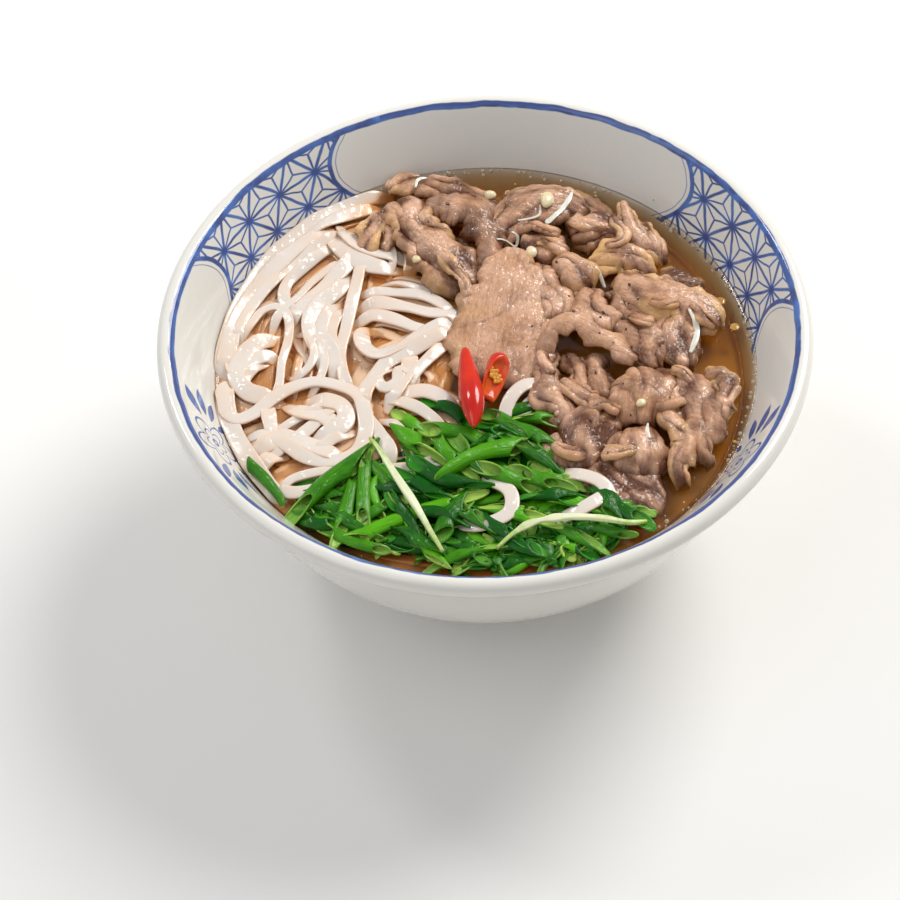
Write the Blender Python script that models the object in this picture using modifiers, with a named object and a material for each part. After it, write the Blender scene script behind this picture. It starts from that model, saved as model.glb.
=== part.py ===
"""A bowl of pho: glazed bowl, broth, flat rice noodles, folded beef slices, spring onion and chilli.

Everything is worked out in millimetres, with heights of the food counted from the broth's surface,
and turned into metres as each mesh is made. The foot's underside stands on z = 0, and +Z is up.
"""
import math

import bmesh
import bpy
from mathutils import Matrix, Vector

# ---- driving dimensions, millimetres and degrees ----
MM = 0.001
RIM_RADIUS = 98.5
RIM_LEVEL = 79.7
LIP_ROLL = 2.9
LIP_CENTRE = (RIM_RADIUS - LIP_ROLL, RIM_LEVEL - 0.6)
LIP_START, LIP_END = 145.0, -61.0
NECK = (95.7, RIM_LEVEL - 4.9)
OUTER_SLOPE, FOOT_SLOPE, INNER_SLOPE = 64.0, 15.0, 55.0
FOOT_RADIUS, FOOT_HEIGHT, FOOT_WIDTH = 41.4, 8.8, 5.0
FLOOR_HEIGHT = 15.2
BOWL_SIDES = 44

BROTH_LEVEL = RIM_LEVEL - 17.5
GAP = 0.3
NOODLE_GAP = 0.45
BEEF_DEPTH = -3.2
FLAT_ANGLE = 1.0
WIDER = 1.36


# ---- curves ----
def mix(a, b, t):
    return a + (b - a) * t


def smoothstep(low, high, x):
    t = min(max((x - low) / (high - low), 0.0), 1.0)
    return t * t * (3 - 2 * t)


def direction(degrees):
    return Vector((math.cos(math.radians(degrees)), math.sin(math.radians(degrees))))


def bezier(p0, p1, p2, p3, count):
    points = []
    for i in range(count + 1):
        t = i / count
        s = 1 - t
        points.append(s ** 3 * p0 + 3 * s * s * t * p1 + 3 * s * t * t * p2 + t ** 3 * p3)
    return points


def arc(centre, radius, start, end, count):
    middle = Vector(centre)
    return [middle + radius * direction(mix(start, end, i / count)) for i in range(count + 1)]


def catmull_rom(rows, t):
    """The value at t, 0 to 1, of a smooth curve through rows of numbers."""
    x = t * (len(rows) - 1)
    i = min(int(x), len(rows) - 2)
    f = x - i
    before, a, b, after = (rows[min(max(i + k, 0), len(rows) - 1)] for k in (-1, 0, 1, 2))
    return [0.5 * (2 * q + (r - p) * f + (2 * p - 5 * q + 4 * r - s) * f * f
                   + (3 * q - p - 3 * r + s) * f ** 3)
            for p, q, r, s in zip(before, a, b, after)]


# ---- the bowl's section: radius and height ----
def inner_wall():
    """From the middle of the floor up to the lip."""
    top = Vector(LIP_CENTRE) + LIP_ROLL * direction(LIP_START)
    down = top - 45 * direction(INNER_SLOPE)
    floor = Vector((0.0, FLOOR_HEIGHT))
    return bezier(floor, Vector((77.0, FLOOR_HEIGHT)), down, top, 7)


def outer_wall():
    """From the crease under the lip down to the foot."""
    neck = Vector(NECK)
    foot = Vector((FOOT_RADIUS, FOOT_HEIGHT))
    span = (neck - foot).length
    down = neck - 0.35 * span * direction(OUTER_SLOPE)
    out = foot + 0.45 * span * direction(FOOT_SLOPE)
    return bezier(neck, down, out, foot, 7)


def foot_ring():
    inner = FOOT_RADIUS - FOOT_WIDTH
    return [Vector(p) for p in ((FOOT_RADIUS - 0.7, 1.0), (FOOT_RADIUS - 1.5, 0.0), (inner + 0.8, 0.0),
                                (inner, 1.0), (inner - 1.0, 6.2), (0.0, 7.4))]


INNER_WALL = inner_wall()


def wall_height(radius):
    """Height of the bowl's inner wall at this radius."""
    for low, high in zip(INNER_WALL, INNER_WALL[1:]):
        if radius <= high.x:
            return mix(low.y, high.y, (radius - low.x) / (high.x - low.x))
    return INNER_WALL[-1].y


def wall_radius(height):
    """Radius of the bowl's inner wall at this height."""
    for low, high in zip(INNER_WALL, INNER_WALL[1:]):
        if height <= high.y:
            return mix(low.x, high.x, (height - low.y) / max(high.y - low.y, 1e-6))
    return INNER_WALL[-1].x


# ---- making objects ----
def collection(name):
    made = bpy.data.collections.new(name)
    bpy.context.scene.collection.children.link(made)
    return made


def material(name, colour, roughness):
    made = bpy.data.materials.new(name)
    made.use_nodes = True
    shader = made.node_tree.nodes["Principled BSDF"]
    shader.inputs["Base Color"].default_value = (*colour, 1)
    shader.inputs["Roughness"].default_value = roughness
    made.diffuse_color = (*colour, 1)
    return made


def new_object(name, mesh, finish, home):
    made = bpy.data.objects.new(name, mesh)
    made.data.materials.append(finish)
    home.objects.link(made)
    return made


def object_from(bm, name, finish, home):
    """A mesh object in metres from a bmesh in millimetres."""
    bmesh.ops.recalc_face_normals(bm, faces=list(bm.faces))
    bmesh.ops.triangulate(bm, faces=list(bm.faces), quad_method="FIXED")
    bmesh.ops.scale(bm, vec=(MM, MM, MM), verts=list(bm.verts))
    mesh = bpy.data.meshes.new(name)
    bm.to_mesh(mesh)
    bm.free()
    return new_object(name, mesh, finish, home)


def turned(name, profile, sides, finish, home):
    mesh = bpy.data.meshes.new(name)
    mesh.from_pydata([(p.x * MM, 0, p.y * MM) for p in profile],
                     [(i, i + 1) for i in range(len(profile) - 1)], [])
    made = new_object(name, mesh, finish, home)
    screw = made.modifiers.new("turn", "SCREW")
    screw.steps = screw.render_steps = sides
    screw.use_merge_vertices = True
    screw.merge_threshold = 0.00005
    return made


def slab(across, along, shape):
    """A closed block with a grid above and below; shape(u, v, top) places each point, u, v in -1..1."""
    bm = bmesh.new()
    bmesh.ops.create_grid(bm, x_segments=along, y_segments=across, size=1.0)
    low = list(bm.verts)
    grown = bmesh.ops.extrude_face_region(bm, geom=list(bm.faces))
    high = [g for g in grown["geom"] if isinstance(g, bmesh.types.BMVert)]
    for verts, top in ((low, False), (high, True)):
        for v in verts:
            v.co = shape(v.co.x, v.co.y, top)
    return bm


def mound(rings, sides, centre, outline, top, bottom):
    """A closed heap: rings of points out to outline(angle), between the heights top and bottom."""
    bm = bmesh.new()
    line = [bm.verts.new((i / rings, 0, 0)) for i in range(rings + 1)]
    edges = [bm.edges.new(pair) for pair in zip(line, line[1:])]
    bmesh.ops.spin(bm, geom=line + edges, cent=(0, 0, 0), axis=(0, 0, 1), angle=math.tau,
                   steps=sides, use_merge=True)
    bmesh.ops.remove_doubles(bm, verts=list(bm.verts), dist=0.0001)
    low = list(bm.verts)
    grown = bmesh.ops.extrude_face_region(bm, geom=list(bm.faces))
    high = [g for g in grown["geom"] if isinstance(g, bmesh.types.BMVert)]
    for verts, height in ((low, bottom), (high, top)):
        for v in verts:
            angle = math.atan2(v.co.y, v.co.x)
            reach = outline(angle) * v.co.xy.length
            x = centre[0] + reach * math.cos(angle)
            y = centre[1] + reach * math.sin(angle)
            v.co = (x, y, height(x, y))
    return bm


def drop_loose_bits(bm):
    """Keeps only the largest body."""
    left = set(bm.verts)
    bodies = []
    while left:
        stack = [left.pop()]
        body = list(stack)
        while stack:
            for edge in stack.pop().link_edges:
                for v in edge.verts:
                    if v in left:
                        left.remove(v)
                        stack.append(v)
                        body.append(v)
        bodies.append(body)
    bodies.sort(key=len)
    for body in bodies[:-1]:
        bmesh.ops.delete(bm, geom=body, context="VERTS")


def boxes_meet(a, b):
    lows, highs = [], []
    for thing in (a, b):
        points = [v.co for v in thing.data.vertices]
        lows.append([min(p[i] for p in points) for i in range(3)])
        highs.append([max(p[i] for p in points) for i in range(3)])
    return all(lows[0][i] < highs[1][i] and lows[1][i] < highs[0][i] for i in range(3))


def apply_modifiers(thing):
    graph = bpy.context.evaluated_depsgraph_get()
    made = bpy.data.meshes.new_from_object(thing.evaluated_get(graph))
    thing.modifiers.clear()
    old = thing.data
    thing.data = made
    bpy.data.meshes.remove(old)


def carve(target, cutters):
    """Cuts every cutter that reaches the target out of it, and leaves one closed body."""
    near = [c for c in cutters if boxes_meet(target, c)]
    if not near:
        return
    for cutter in near:
        cut = target.modifiers.new(cutter.name, "BOOLEAN")
        cut.operation = "DIFFERENCE"
        cut.use_self = True
        cut.object = cutter
    apply_modifiers(target)
    bm = bmesh.new()
    bm.from_mesh(target.data)
    bmesh.ops.remove_doubles(bm, verts=list(bm.verts), dist=0.02 * MM)
    bmesh.ops.dissolve_limit(bm, angle_limit=math.radians(FLAT_ANGLE), verts=list(bm.verts), edges=list(bm.edges))
    bmesh.ops.triangulate(bm, faces=list(bm.faces))
    drop_loose_bits(bm)
    bm.to_mesh(target.data)
    bm.free()


# ---- the beef ----
# Each slice is a strip along a curve: rows of x, y, height over the broth, and width. The other
# values are the roll about the curve in degrees, the arch across it, the folds across it and their
# depth, and how low the slice reaches: None is a sheet that bridges over what lies below it.
BEEF = {
    "hood": dict(path=[(18.5, -1, 5, 4), (20, 4, 8, 4.5), (24.5, 7, 9.5, 5), (30, 5.5, 10, 5.5),
                       (36, 1, 9.5, 5.5), (41, -4, 8.5, 5), (45, -8, 7.5, 4)], arch=1.6, low=None),
    "centre_lobe": dict(path=[(44, -9, 5, 7), (46, -15, 8, 14), (45, -22, 9, 14), (43.5, -30, 6, 10)],
                        arch=3.5),
    "spike": dict(path=[(46.5, 58, 8, 1.8), (47, 53, 7, 4), (49.5, 48, 6, 6), (53.5, 43, 5, 6),
                        (57, 37, 2.5, 4)], arch=1.2),
    "roll_hook": dict(path=[(-17, 62, 5, 8), (-10, 62, 7, 9.5), (-3, 59.5, 8, 9.5), (1.5, 53, 8, 8.5),
                            (3, 46, 7, 8.5), (5, 38, 4.5, 7)], arch=3.2),
    "strip_left": dict(path=[(-26, 66, 6, 14), (-20.5, 56, 7.5, 12), (-15.5, 46, 7, 13),
                             (-9.5, 37, 6, 15), (-4, 28, 4, 11)], arch=2.0, folds=1, depth=1.4),
    "wall_curl": dict(path=[(-28, 72.5, 3.2, 4), (-23, 74.5, 4, 6), (-17, 77, 4, 4)], arch=1.0, low=None),
    "strip_back": dict(path=[(-19, 73, 5, 6), (-10, 70.5, 5.5, 8), (-2, 66.5, 5, 8), (5, 60.5, 4, 7),
                             (9, 56, 2, 4)], arch=2.0),
    "under_hook": dict(path=[(-10, 51.5, 0.5, 7), (-5.5, 46, 2, 9), (-1, 39.5, 2, 9), (3, 34, 1, 7)],
                       arch=1.5),
    "thin_curl": dict(path=[(58.5, -25, 5, 4), (54, -28, 6, 5), (55, -34, 7, 5), (57.5, -39.5, 7, 5.5),
                            (54.5, -46, 6, 5.5), (56, -52, 4, 5)], arch=1.6),
    "right_lobe": dict(path=[(58, -9, 3.5, 5), (60.5, -15, 5, 9), (62.5, -23, 7, 11), (62.5, -31, 7, 11.5),
                             (61.5, -38, 6, 9), (61, -44, 3, 5)], arch=3.0),
    "edge_curls": dict(path=[(66, -11, 3, 5), (71, -12, 4, 7), (71.5, -18, 4, 6), (69, -23, 4, 6),
                             (69.5, -29, 3, 4)], arch=1.8),
    "big_right": dict(path=[(42.5, 30, 4.5, 4), (47, 25.5, 6, 10), (53, 20, 7, 13), (60, 18, 6, 12),
                            (67, 14, 5, 12), (72.5, 8.5, 3.5, 7)], arch=2.0, folds=1, depth=0.8),
    "mid_right": dict(path=[(56.5, 13, 3, 9), (58.5, 6, 4.5, 12), (60, -1, 4, 9), (61, -7, 3, 5)], arch=1.5),
    "panel_left": dict(path=[(17, 37, 3, 5), (20, 30, 5, 7), (22.5, 22, 6, 7.5), (23, 13, 6, 8)], arch=2.0),
    "panel_lobes": dict(path=[(23, 36, 3, 6), (27, 35, 5.5, 9), (31, 30, 7, 10), (34, 26, 5, 6)], arch=2.5),
    "panel_mid": dict(path=[(31, 25, 4.5, 8), (33, 18, 5.5, 10), (35, 11, 6, 10), (37, 6, 5, 7)], arch=1.5),
    "panel_right": dict(path=[(42.5, 26, 3, 7), (44, 19, 4, 9), (46, 12, 5, 11), (48, 5, 5, 12),
                              (49.5, -1, 4.5, 10), (51.5, -7, 3, 6)], arch=1.6, folds=1, depth=1.0),
    "inner_fold_a": dict(path=[(25.5, 1, 2.5, 5), (27, -6, 4, 5), (28, -12, 3.5, 5), (29, -18, 2, 4)],
                         arch=1.8),
    "inner_fold_b": dict(path=[(33, -1, 3, 6), (33.5, -7, 4.5, 6.5), (34, -13, 5, 6.5), (36, -19, 3, 6)],
                         arch=2.2),
    "left_side": dict(path=[(18.5, 7, 3, 4), (19, 1, 3.5, 5), (18.5, -5, 4, 5), (18, -11, 5, 6.5),
                            (19, -18, 5, 8), (23, -24, 4.5, 7), (21.5, -30, 3, 7)], arch=1.6),
    "short_strip": dict(path=[(22.5, -12, 5, 4), (26, -16.5, 6, 4.5), (30, -20, 6, 5), (33.5, -20, 4.5, 4)],
                        arch=1.2),
    "side_lobe": dict(path=[(52, -8, 3, 6), (54, -14, 5, 8), (52.5, -20, 5, 8), (50, -25, 3, 5)], arch=2.0),
    "dark_lobe_a": dict(path=[(36, -22, 4, 9), (31.5, -29, 6, 14), (29, -37, 5, 14), (30, -44, 2.5, 10)],
                        arch=3.0),
    "dark_lobe_b": dict(path=[(42, -32, 4.5, 11), (43, -38, 6, 14), (43.5, -44, 4.5, 13), (43, -48, 2.5, 10)],
                        arch=2.5),
    "low_slice": dict(path=[(32.5, -47, 0.6, 8), (38.5, -51, 1.4, 13), (43, -56, 0.8, 11), (45.5, -61.5, -0.4, 6)],
                      arch=1.0),
    "onion_side": dict(path=[(18.5, -31.5, 2.5, 6), (20, -35.5, 3.5, 9), (20.3, -40, 3, 9), (20, -45, 1.5, 7)],
                       arch=1.6),
    "flat_large": dict(path=[(9.5, 44, 5, 5), (9.5, 37, 6, 13), (9.5, 28, 6, 18), (7.5, 18, 5, 24),
                             (5.5, 8, 4, 26), (4, -2, 3, 25), (2.5, -10, 1.8, 21)], arch=1.2),
    "back_fold": dict(path=[(6.5, 46, 2.5, 7), (9, 54, 5.5, 10), (15, 60, 6.5, 13), (23, 61.5, 6.5, 13),
                            (30, 60, 5, 11), (33.5, 57, 2.5, 7)], arch=2.2),
    "ruffle_mid": dict(path=[(14.5, 50, 3.5, 5), (19, 47.5, 3.5, 9), (23, 44, 3, 10), (27, 42, 1.5, 6)], arch=1.4),
    "back_lump": dict(path=[(29.5, 49, 3, 7), (35, 50, 5.5, 12), (41, 49, 5, 10), (46, 47.5, 3.5, 6)], arch=2.6),
    "fatty_slice": dict(path=[(34, 37, 2, 6), (40, 38, 4.5, 10), (46, 38.5, 5, 11), (50, 35.5, 3.5, 9),
                              (52.5, 32, 1.5, 6)], arch=2.0),
    "sunk_leaf": dict(path=[(56, 32.5, 0.4, 5), (61, 31, 0.2, 7), (66, 29, -0.3, 6), (69.5, 27.5, -0.6, 3)],
                      arch=0.6),
    "sunk_back": dict(path=[(9, 69, -0.4, 5), (17, 70, -0.2, 6), (27, 68, -0.4, 9), (36, 60.5, -0.5, 13),
                            (41, 54, -0.8, 9)], arch=0.6),
}
THIN, EDGE_DROP = 1.2, 1.1


def slice_shape(path, arch, folds=0, depth=0.0, low=BEEF_DEPTH, grow=0.0):
    """shape(u, v, top) for slab(); grow swells the slice on every side."""
    rows = [list(row) for row in path]

    def shape(u, v, top):
        t = (u + 1) / 2
        x, y, height, width = catmull_rom(rows, t)
        ahead = catmull_rom(rows, min(t + 0.01, 1.0))
        behind = catmull_rom(rows, max(t - 0.01, 0.0))
        along = Vector((ahead[0] - behind[0], ahead[1] - behind[1])).normalized()
        side = Vector((-along.y, along.x))
        rounding = math.sqrt(1 - 0.6 * abs(u) ** 6)
        across = v * (WIDER * width * 0.5 * rounding + grow)
        end = along * (grow * u * abs(u) ** 3)
        underside = height - arch - EDGE_DROP - THIN
        if top:
            z = height - arch * v * v + depth * math.cos(math.tau * folds * v) * bool(folds) + grow
            z -= EDGE_DROP * (abs(v) > 0.99 or abs(u) > 0.99)
        else:
            z = (underside if low is None else min(underside, low)) - grow
        return Vector((x + side.x * across + end.x, y + side.y * across + end.y, BROTH_LEVEL + z))

    return shape


def slice_grid(path):
    run = sum(math.dist(a[:2], b[:2]) for a, b in zip(path, path[1:]))
    return max(4, round(run / 7.5))


# ---- the noodles ----
def noodle_height(x, y):
    """Top of the heap over the broth: high at the left, low under the beef and the onions."""
    left = 1 - smoothstep(-17, -3, x + 0.25 * max(y - 20, 0))
    front = smoothstep(-36, -46, y + 0.12 * (x + 20))
    back = smoothstep(58, 68, y - 0.2 * x - 8)
    waves = 0.9 * math.sin(x / 5.3 + 0.6) * math.sin(y / 6.1) + 0.5 * math.sin((x + y) / 3.7)
    high = mix(-13, 2.4 + waves, left)
    high = mix(high, min(high, -4.5 + 0.4 * waves), front)
    return BROTH_LEVEL + mix(high, min(high, -6), back)


def noodle_reach(angle):
    """Radius of the heap's edge: it ends where the bowl's wall comes up to it."""
    reach = 70.0
    for _ in range(12):
        edge = noodle_height(reach * math.cos(angle), reach * math.sin(angle))
        reach = min(wall_radius(min(edge, BROTH_LEVEL) - 2.2), 78.5)
    return reach


def noodles(grow):
    def bottom(x, y):
        floor = wall_height(math.hypot(x, y)) + NOODLE_GAP
        return floor - 6 if grow else floor

    return mound(9, 34, (0, 0), lambda angle: noodle_reach(angle) + grow,
                 lambda x, y: noodle_height(x, y) + grow, bottom)


# ---- the heap of spring onion ----
ONION_CENTRE = (-6, -52)
ONION_REACH = (33, 33, 24, 36, 40, 36, 25, 37, 37, 27, 28, 39, 47, 60, 60, 60, 60, 60, 60, 60, 60, 60, 60, 48)
ONION_WALL_REACH = 78.3


def onion_outline(angle):
    steps = len(ONION_REACH)
    x = (angle / math.tau * steps) % steps
    i = int(x)
    reach = mix(ONION_REACH[i], ONION_REACH[(i + 1) % steps], x - i)
    # distance from the heap's middle to the ring that the bowl's wall leaves
    cx, cy = ONION_CENTRE
    b = cx * math.cos(angle) + cy * math.sin(angle)
    to_wall = -b + math.sqrt(b * b - (cx * cx + cy * cy - ONION_WALL_REACH ** 2))
    return min(reach, to_wall)


def onion_height(x, y):
    rise = mix(2.4, 5.0, smoothstep(-70, -30, y))
    blades = 1.3 * math.sin(x / 2.9 + y / 6.7) + 1.0 * math.sin(y / 2.3 - x / 5.1 + 1)
    return BROTH_LEVEL + rise + blades


def spring_onion(grow):
    return mound(7, 40, ONION_CENTRE, lambda angle: onion_outline(angle) + grow,
                 lambda x, y: onion_height(x, y) + grow, lambda x, y: BROTH_LEVEL - 3.8 - grow)


def strand(path, width, thickness, grow):
    """A flat shred along a curve through rows of x, y and height."""
    rows = [list(row) for row in path]

    def shape(u, v, top):
        t = (u + 1) / 2
        x, y, height = catmull_rom(rows, t)
        ahead, behind = catmull_rom(rows, min(t + 0.01, 1.0)), catmull_rom(rows, max(t - 0.01, 0.0))
        along = Vector((ahead[0] - behind[0], ahead[1] - behind[1])).normalized()
        half = (width * 0.5 * math.sqrt(1 - 0.8 * abs(u) ** 3) + grow) * v
        end = along * grow * u * abs(u) ** 3
        z = height + (1 if top else -1) * (thickness * 0.5 * (1 - 0.4 * v * v) + grow)
        return Vector((x - along.y * half + end.x, y + along.x * half + end.y, BROTH_LEVEL + z))

    return shape


SHREDS = {
    "pale_shred_left": dict(path=[(-35.5, -32.5, 6.5), (-33, -37, 7.2), (-28, -48, 7.6), (-23, -58, 7.2),
                                  (-18.5, -68, 6.2), (-15.5, -74, 5.2)], width=3.2),
    "pale_shred_right": dict(path=[(0, -74, 5.4), (5, -69.5, 6), (11, -66.3, 6.6), (20, -65.2, 7),
                                   (30, -66, 6.8), (38, -67.5, 6), (43.5, -66.5, 4.6)], width=3.0),
}
SHRED_THICKNESS = 1.6


# ---- the chillies ----
def chilli_radius(t):
    """Radius of the whole chilli along its length: a long point, a full belly, a drawn-in end."""
    return 3.7 * math.sin(math.pi * min(0.05 + 0.62 * t + 0.33 * t ** 3, 0.97)) ** 0.85 + 0.15


def pod(axis, radius, sides, rings, grow):
    """A closed pod along rows of x, y and height, with radius(t) round them."""
    bm = bmesh.new()
    bmesh.ops.create_cone(bm, cap_ends=True, segments=sides, radius1=1, radius2=1, depth=2)
    tall = [e for e in bm.edges if abs(e.verts[0].co.z - e.verts[1].co.z) > 1]
    bmesh.ops.subdivide_edges(bm, edges=tall, cuts=rings - 1, use_grid_fill=True)
    rows = [list(row) for row in axis]
    for v in bm.verts:
        t = (v.co.z + 1) / 2
        centre = Vector(catmull_rom(rows, t))
        ahead, behind = catmull_rom(rows, min(t + 0.01, 1.0)), catmull_rom(rows, max(t - 0.01, 0.0))
        along = (Vector(ahead) - Vector(behind)).normalized()
        side = along.cross(Vector((0, 0, 1))).normalized()
        over = side.cross(along)
        size = radius(t) + grow
        centre += along * grow * (2 * t - 1)
        place = centre + side * (v.co.x * size) + over * (v.co.y * size)
        v.co = (place.x, place.y, BROTH_LEVEL + place.z)
    return bm


CHILLI_AXIS = [(-6, 1.6, 8.2), (-5.6, -5, 8.0), (-5.0, -13, 8.2), (-4.5, -21, 8.4), (-4.6, -29, 8.6)]
CUT_CHILLI_AXIS = [(4.8, -0.8, 7.0), (3.9, -4, 7.2), (2.6, -9.5, 7.4), (1.0, -16.5, 7.2)]
CUT_FACE_POINT, CUT_FACE_NORMAL = (2.9, -8.6, 8.2), (0.46, -0.48, 0.75)


def cut_chilli_radius(t):
    return 3.4 * math.sqrt(max(1 - (1 - min(t * 2.4, 1)) ** 2, 0.04))


def cut_chilli(grow):
    """A bias-cut end of chilli, with a shallow hollow in its cut face."""
    bm = pod(CUT_CHILLI_AXIS, cut_chilli_radius, 12, 8, grow)
    normal = Vector(CUT_FACE_NORMAL).normalized()
    point = Vector(CUT_FACE_POINT) + Vector((0, 0, BROTH_LEVEL)) + normal * grow
    found = bmesh.ops.bisect_plane(bm, geom=bm.verts[:] + bm.edges[:] + bm.faces[:], plane_co=point,
                                   plane_no=normal, clear_outer=True)
    rim = [g for g in found["geom_cut"] if isinstance(g, bmesh.types.BMEdge)]
    face = bmesh.ops.contextual_create(bm, geom=rim)["faces"]
    bmesh.ops.recalc_face_normals(bm, faces=list(bm.faces))
    if not grow:
        bmesh.ops.inset_region(bm, faces=face, thickness=0.9, depth=-0.9, use_even_offset=True)
    return bm


# ---- the stray piece of spring onion against the wall ----
STRAY_AXIS = [(-71.5, -38.0, 4.0), (-67.0, -44.3, 2.9), (-62.0, -50.6, 2.5)]


def stray_radius(t):
    return mix(1.0, 1.9, min(4 * t * (1 - t) * 1.6, 1))


def main():
    for thing in list(bpy.data.objects):
        bpy.data.objects.remove(thing, do_unlink=True)
    home = collection("pho_noodle_soup")
    tools = collection("cutters")
    tools.hide_render = True

    glaze = material("glazed_porcelain", (0.80, 0.80, 0.76), 0.12)
    broth_look = material("clear_broth", (0.36, 0.20, 0.07), 0.08)
    noodle_look = material("rice_noodle", (0.84, 0.74, 0.60), 0.35)
    beef_look = material("poached_beef", (0.33, 0.17, 0.11), 0.4)
    onion_look = material("spring_onion_leaf", (0.05, 0.28, 0.02), 0.3)
    shred_look = material("spring_onion_stem", (0.72, 0.75, 0.40), 0.35)
    chilli_look = material("chilli_skin", (0.72, 0.04, 0.01), 0.2)

    lip = arc(LIP_CENTRE, LIP_ROLL, LIP_START, LIP_END, 6)
    section = INNER_WALL[:-1] + lip + outer_wall() + foot_ring()
    turned("bowl", section, BOWL_SIDES, glaze, home)

    cutters = {}

    def add(name, made, swollen, finish):
        """The solid, and a swollen copy of it that keeps its neighbours clear."""
        cutter = object_from(swollen, name + "_clearance", finish, tools)
        cutter.hide_render = True
        cutter.display_type = "WIRE"
        cutters[name] = cutter
        return object_from(made, name, finish, home)

    chilli = add("chilli_whole", pod(CHILLI_AXIS, chilli_radius, 10, 8, 0),
                 pod(CHILLI_AXIS, chilli_radius, 10, 8, GAP), chilli_look)
    half = add("chilli_cut", cut_chilli(0), cut_chilli(GAP), chilli_look)
    carve(half, [cutters["chilli_whole"]])

    above = ["chilli_whole", "chilli_cut"]
    for name, values in BEEF.items():
        along = slice_grid(values["path"])
        across = 3 if max(row[3] for row in values["path"]) < 10.5 else 4
        piece = add("beef_" + name, slab(across, along, slice_shape(**values)),
                    slab(across, along, slice_shape(**values, grow=GAP)), beef_look)
        carve(piece, [cutters[other] for other in above])
        above.append("beef_" + name)

    for name, values in SHREDS.items():
        piece = add(name, slab(1, 9, strand(**values, thickness=SHRED_THICKNESS, grow=0)),
                    slab(1, 9, strand(**values, thickness=SHRED_THICKNESS, grow=GAP)), shred_look)
        carve(piece, [cutters[other] for other in above])
        above.append(name)
    add("spring_onion_stray", pod(STRAY_AXIS, stray_radius, 8, 4, 0),
        pod(STRAY_AXIS, stray_radius, 8, 4, GAP), onion_look)
    above.append("spring_onion_stray")
    heap = add("spring_onion_heap", spring_onion(0), spring_onion(GAP), onion_look)
    carve(heap, [cutters[other] for other in above])
    above.append("spring_onion_heap")

    mass = add("noodles", noodles(0), noodles(GAP), noodle_look)
    carve(mass, [cutters[other] for other in above])
    above.append("noodles")

    level = [p - Vector((GAP, -GAP)) for p in INNER_WALL if 0 < p.x and p.y < BROTH_LEVEL - 2]
    edge = Vector((wall_radius(BROTH_LEVEL) - 1.3 * GAP, BROTH_LEVEL))
    profile = [Vector((0, BROTH_LEVEL)), edge] + level[::-1] + [Vector((0, FLOOR_HEIGHT + GAP))]
    broth = turned("broth", profile, BOWL_SIDES, broth_look, home)
    apply_modifiers(broth)
    carve(broth, [cutters[other] for other in above])


if __name__ == "__main__":
    main()
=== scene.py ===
"""Pho noodle soup: the finish of the bowl, broth, noodles, beef, spring onion and chillies.

Each piece is modelled in millimetres round the frame's solids and turned into metres as it is made.
"""
import math
import random

import bmesh
import bpy
import numpy as np
from bpy.props import FloatProperty, FloatVectorProperty, IntProperty, PointerProperty
from mathutils import Matrix, Vector


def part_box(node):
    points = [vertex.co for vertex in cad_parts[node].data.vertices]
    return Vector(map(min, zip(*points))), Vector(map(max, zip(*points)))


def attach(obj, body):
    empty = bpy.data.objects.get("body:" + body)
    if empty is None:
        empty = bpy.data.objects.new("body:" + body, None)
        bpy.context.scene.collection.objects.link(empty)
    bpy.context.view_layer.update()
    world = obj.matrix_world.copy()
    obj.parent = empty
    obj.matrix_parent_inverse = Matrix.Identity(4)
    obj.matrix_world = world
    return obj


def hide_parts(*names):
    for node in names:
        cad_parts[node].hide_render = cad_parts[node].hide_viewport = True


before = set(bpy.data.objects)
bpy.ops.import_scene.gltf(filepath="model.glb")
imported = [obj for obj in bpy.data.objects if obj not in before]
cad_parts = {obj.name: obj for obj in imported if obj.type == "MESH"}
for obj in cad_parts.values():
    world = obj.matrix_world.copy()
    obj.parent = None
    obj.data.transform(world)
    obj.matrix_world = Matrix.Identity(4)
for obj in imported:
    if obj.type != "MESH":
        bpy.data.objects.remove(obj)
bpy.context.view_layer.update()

bl_info = {
    "name": "Pho noodle soup",
    "version": (1, 0, 0),
    "blender": (4, 5, 0),
    "location": "View3D > Sidebar > Soup",
    "description": "Makes a bowl of beef noodle soup round its frame, one piece at a time",
    "category": "Add Mesh",
}

# ---- places and sizes that come from the frame, in millimetres ----
MM = 0.001
BOWL_LOW, BOWL_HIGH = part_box("bowl")
RIM_RADIUS = (BOWL_HIGH[0] - BOWL_LOW[0]) / 2 / MM
RIM_TOP = BOWL_HIGH[2] / MM
BROTH_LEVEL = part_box("broth")[1][2] / MM

LIP_ROLL = 2.9
LIP_CENTRE = (RIM_RADIUS - LIP_ROLL, RIM_TOP - LIP_ROLL)
LIP_START, LIP_END = 145.0, -61.0
NECK = (RIM_RADIUS - 2.8, RIM_TOP - 7.2)
OUTER_SLOPE, FOOT_SLOPE, INNER_SLOPE = 64.0, 15.0, 55.0
FOOT_RADIUS, FOOT_HEIGHT, FOOT_WIDTH = 41.4, 8.8, 5.0
FLOOR_HEIGHT = 15.2


# ---- numbers and curves ----
def colour(text):
    """sRGB hex to linear red, green, blue and alpha."""
    parts = [int(text[i:i + 2], 16) / 255 for i in (1, 3, 5)]
    return tuple(p / 12.92 if p <= 0.04045 else ((p + 0.055) / 1.055) ** 2.4 for p in parts) + (1.0,)


def mix(a, b, t):
    return a + (b - a) * t


def smoothstep(low, high, x):
    t = np.clip((x - low) / (high - low), 0.0, 1.0)
    return t * t * (3 - 2 * t)


def unit(vectors):
    return vectors / np.maximum(np.linalg.norm(vectors, axis=-1, keepdims=True), 1e-9)


def direction(degrees):
    return np.array((math.cos(math.radians(degrees)), math.sin(math.radians(degrees))))


def bezier(p0, p1, p2, p3, count):
    t = np.linspace(0, 1, count + 1)[:, None]
    s = 1 - t
    return s ** 3 * p0 + 3 * s * s * t * p1 + 3 * s * t * t * p2 + t ** 3 * p3


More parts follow.
